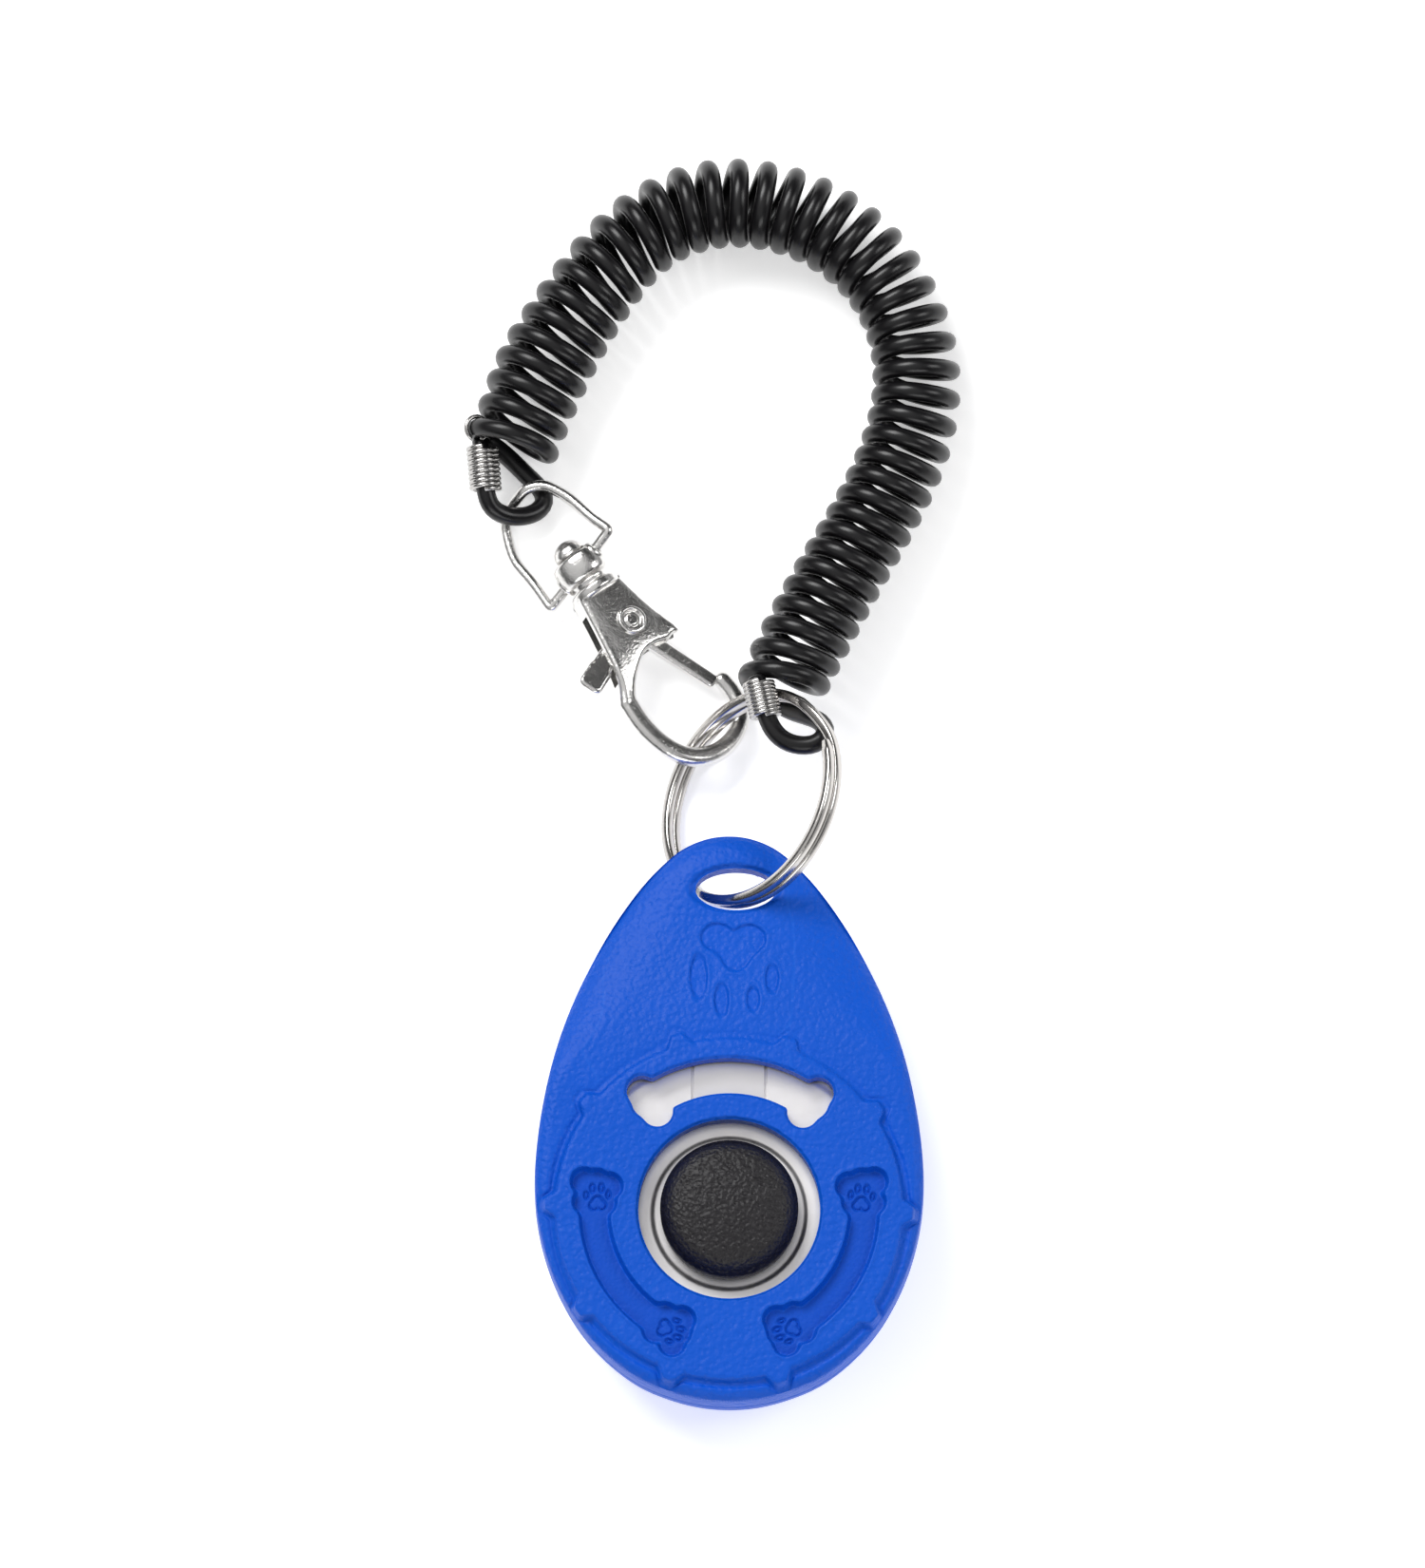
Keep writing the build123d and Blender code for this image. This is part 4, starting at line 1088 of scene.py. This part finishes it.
def cut_lever_slot(body):
    """Cuts the slot for the lever through both sides of the head."""
    bpy.ops.mesh.primitive_cube_add(size=1)
    cutter = bpy.context.object
    for vert in cutter.data.vertices:
        x, y, z = vert.co
        corner = (-3.3 if x < 0 else 5.3, math.copysign(20, y))
        vert.co = Vector(from_plane(corner, math.copysign(0.77, z)) * MM)
    bm = bmesh.new()
    bm.from_mesh(body.data)
    bmesh.ops.triangulate(bm, faces=[f for f in bm.faces if len(f.verts) > 8])
    bm.to_mesh(body.data)
    bm.free()
    cut = body.modifiers.new("slot", "BOOLEAN")
    cut.operation = "DIFFERENCE"
    cut.object = cutter
    cut.solver = "EXACT"
    depsgraph = bpy.context.evaluated_depsgraph_get()
    mesh = bpy.data.meshes.new_from_object(body.evaluated_get(depsgraph))
    body.modifiers.clear()
    old = body.data
    body.data = mesh
    bpy.data.meshes.remove(old)
    bpy.data.objects.remove(cutter)


def crown_head(body):
    """Splits the large flat faces, then swells the head's two faces (lengths in metres)."""
    bm = bmesh.new()
    bm.from_mesh(body.data)

    def triangulate():
        bmesh.ops.triangulate(bm, faces=[f for f in bm.faces if len(f.verts) > 4])

    triangulate()
    for _ in range(3):
        long_edges = [e for e in bm.edges if e.calc_length() > 0.0009]
        bmesh.ops.subdivide_edges(bm, edges=long_edges, cuts=1)
        triangulate()
    small = [f for f in bm.faces if len(f.verts) == 3 and f.calc_area() < 1e-6]
    flat = [e for e in bm.edges
            if e.calc_length() < 0.0015 and not e.is_boundary
            and len(e.link_faces) == 2 and e.calc_face_angle(0) < 0.05]
    bmesh.ops.beautify_fill(bm, faces=small, edges=flat)
    origin, normal = Vector(RIVET * MM), Vector(NORMAL)
    head_end, half_width, crown = 6.0, 3.6, 0.34     # mm
    for vert in bm.verts:
        offset = vert.co - origin
        height = offset.dot(normal) / MM
        along = offset.dot(Vector(ALONG)) / MM
        across = offset.dot(Vector(ACROSS)) / MM
        if abs(height) > 1.2 and along < head_end:
            side = min(1.0, abs(across + 0.2 + 0.06 * along) / half_width)
            lift = crown * (1 - side ** 2) * min(1.0, (head_end - along) / 4.0)
            vert.co += normal * (math.copysign(lift, height) * MM)
    bm.normal_update()
    bm.to_mesh(body.data)
    bm.free()
    shade_smooth(body.data)


def build_clasp_body():
    plate = pillow(clasp_outline(),
                   thickness=lambda p: 1.9 + 1.3 * (1 - smooth_step(p[:, 0], 3.5, 8.0)),
                   edge=lambda p: 0.55 + 0.33 * smooth_step(p[:, 0], 3.5, 7.5))
    body = joined("clasp_casting", [plate], CLASP_NICKEL)
    outside = rounded([(0.95, 2.45), (2.9, 2.45), (3.15, 2.7), (3.15, 3.45), (2.9, 3.75),
                       (2.2, 3.85), (1.5, 4.3), (1.45, 6.0), (0.0, 6.0)], 0.25)
    hollow = rounded([(0.95, 2.4), (0.95, 3.8), (1.45, 3.85), (1.45, 5.4), (0.0, 5.4)], 0.05)
    neck = joined("clasp_neck", [lathe(outside, SWIVEL, ALONG, 72),
                                 lathe(hollow, SWIVEL, ALONG, 48)], CLASP_NICKEL)
    cut_lever_slot(body)
    crown_head(body)
    for obj in (body, neck):
        install(obj, "clasp", "clasp_body")


def lever_outline(direction, half):
    """Closed outline mirrored about a direction, from (distance, half width) pairs."""
    normal = np.array([-direction[1], direction[0]])
    pairs = half + [(distance, -width) for distance, width in half[::-1]]
    points = [direction * distance + normal * width for distance, width in pairs]
    return resample(np.array(points + points[:1]), 0.25)[:-1]


def build_gate():
    """Lever with a gate arm to the hook's tip and a thumb tab on the other side."""
    arm_end, tab_end = to_plane(-1.45, 63.3), to_plane(-15.6, 62.9)
    arm, tab = unit(arm_end), unit(tab_end)
    reach = np.linalg.norm(arm_end) - 0.2
    tab_reach = np.linalg.norm(tab_end)
    arm_outline = lever_outline(arm, [(0.3, 0.95), (5.0, 0.95), (reach - 0.3, 0.9),
                                      (reach, 0.6)])
    tab_outline = lever_outline(tab, [
        (0.2, 1.1), (tab_reach - 2.1, 1.25), (tab_reach - 1.7, 1.45), (tab_reach + 0.9, 1.5),
        (tab_reach + 1.35, 1.3), (tab_reach + 1.6, 0.8)])

    def tab_thickness(p):
        return 1.3 + 0.9 * smooth_step(p @ tab, tab_reach - 2.0, tab_reach - 1.3)

    gate = joined("clasp_gate_lever", [pillow(arm_outline, thickness=1.3, edge=0.5),
                                       pillow(tab_outline, tab_thickness, edge=0.45)],
                  CLASP_NICKEL)
    install(gate, "gate", "clasp_gate")
    return gate


def build_rivet_and_spring():
    profile = rounded([(0.0, 2.12), (0.62, 2.15), (0.84, 1.92), (1.06, 1.94), (1.3, 2.36),
                       (1.62, 2.3), (1.9, 1.7), (0.8, 1.55), (0.8, -1.55), (1.8, -1.6),
                       (1.7, -1.95), (0.0, -2.05)], 0.12)
    rivet = joined("gate_rivet_pin", [lathe(profile, RIVET, NORMAL, 56)], CLASP_NICKEL)
    install(rivet, "clasp", "gate_rivet")
    angles = np.radians(np.linspace(10, 350, 50))
    loop = from_plane(1.35 * np.stack([np.cos(angles), np.sin(angles)], 1), 0.32)
    spring = joined("gate_torsion_spring", [tube(loop, 0.2, 8)], SPRING_STEEL)
    install(spring, "clasp", "gate_spring")


# ------------------------------------------------------------------ stage (metres)
def build_floor():
    shader = FLOOR_PAPER.node_tree.nodes["Principled BSDF"]
    shader.inputs["Emission Color"].default_value = (1, 1, 1, 1)
    shader.inputs["Emission Strength"].default_value = 0.42
    half = 3.0
    mesh = bpy.data.meshes.new("studio_floor")
    mesh.from_pydata([(-half, -half, 0), (half, -half, 0), (half, half, 0), (-half, half, 0)],
                     [], [(0, 1, 2, 3)])
    mesh.materials.append(FLOOR_PAPER)
    floor = bpy.data.objects.new("studio_floor", mesh)
    floor.location = (0, 0.05, -0.0002)
    collection.objects.link(floor)
    floor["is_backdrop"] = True


def area_light(name, location, width, height, power):
    light = bpy.data.lights.new(name, "AREA")
    light.energy = power
    light.color = (1, 1, 1)
    light.shape = "RECTANGLE"
    light.size = width
    light.size_y = height
    obj = bpy.data.objects.new(name, light)
    obj.location = location
    collection.objects.link(obj)
    aim = Vector((0.0, 0.05, 0.0)) - Vector(location)
    obj.rotation_euler = aim.to_track_quat("-Z", "Y").to_euler()


def build_world():
    """Grey ramp over height, skewed so that the -X side is brighter."""
    world = bpy.data.worlds.new("studio")
    bpy.context.scene.world = world
    world.use_nodes = True
    nodes, link = world.node_tree.nodes, world.node_tree.links.new
    background = nodes["Background"]
    coords = nodes.new("ShaderNodeTexCoord")
    split = nodes.new("ShaderNodeSeparateXYZ")
    ramp = nodes.new("ShaderNodeValToRGB")
    link(coords.outputs["Generated"], split.inputs[0])
    skew = nodes.new("ShaderNodeMath")
    skew.operation = "MULTIPLY_ADD"
    skew.inputs[1].default_value = -0.45
    link(split.outputs["X"], skew.inputs[0])
    link(split.outputs["Z"], skew.inputs[2])
    link(skew.outputs[0], ramp.inputs["Fac"])
    elements = ramp.color_ramp.elements
    elements[0].position = 0.0
    elements[0].color = (0.75, 0.75, 0.76, 1)
    elements[1].position = 1.0
    elements[1].color = (1.0, 1.0, 1.0, 1)
    for position, grey in ((0.06, 0.75), (0.16, 0.05), (0.60, 0.035), (0.80, 0.45), (0.92, 1.0)):
        elements.new(position).color = (grey, grey, grey * 1.01, 1)
    link(ramp.outputs["Color"], background.inputs["Color"])
    background.inputs["Strength"].default_value = 0.66


def build_camera():
    distance = 3.0
    frame_width = 179.54298 * MM     # width seen at the target
    toward_camera = Vector((0, -0.1908, 0.9816))
    target = Vector((-1.9 * MM, 51.1 * MM, 5 * MM))
    camera = bpy.data.cameras.new("cam")
    obj = bpy.data.objects.new("cam", camera)
    collection.objects.link(obj)
    obj.location = target + toward_camera * distance
    obj.rotation_euler = (-toward_camera).to_track_quat("-Z", "Y").to_euler()
    camera.sensor_width = 36
    camera.lens = 36 * distance / frame_width
    camera.clip_start = 0.01
    camera.clip_end = 20
    bpy.context.scene.camera = obj
    view = bpy.context.scene.view_settings
    view.view_transform = "Standard"
    view.look = "None"
    view.exposure = 0.0
    view.gamma = 1.0


# ------------------------------------------------------------------ build
build_front_cover()
build_back_cover()
build_button()
build_click_plate()
build_split_ring()
build_cord()
build_crimps()
build_bail()
build_swivel()
build_clasp_body()
gate = build_gate()
build_rivet_and_spring()
build_floor()
area_light("key", (-0.55, 0.75, 0.95), width=0.75, height=0.55, power=12.5)
area_light("fill", (0.75, 0.2, 0.7), width=0.45, height=0.45, power=3.0)
area_light("front", (0.05, -0.8, 0.55), width=0.7, height=0.35, power=2.8)
build_world()
build_camera()

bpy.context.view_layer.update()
weighted = gate.modifiers.new("flat_faces", "WEIGHTED_NORMAL")
weighted.keep_sharp = True
weighted.weight = 90
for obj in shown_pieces():
    if obj.type == "MESH" and obj.name not in ("wrist_coil_cord", "thumb_button"):
        obj.data.set_sharp_from_angle(angle=math.radians(38))
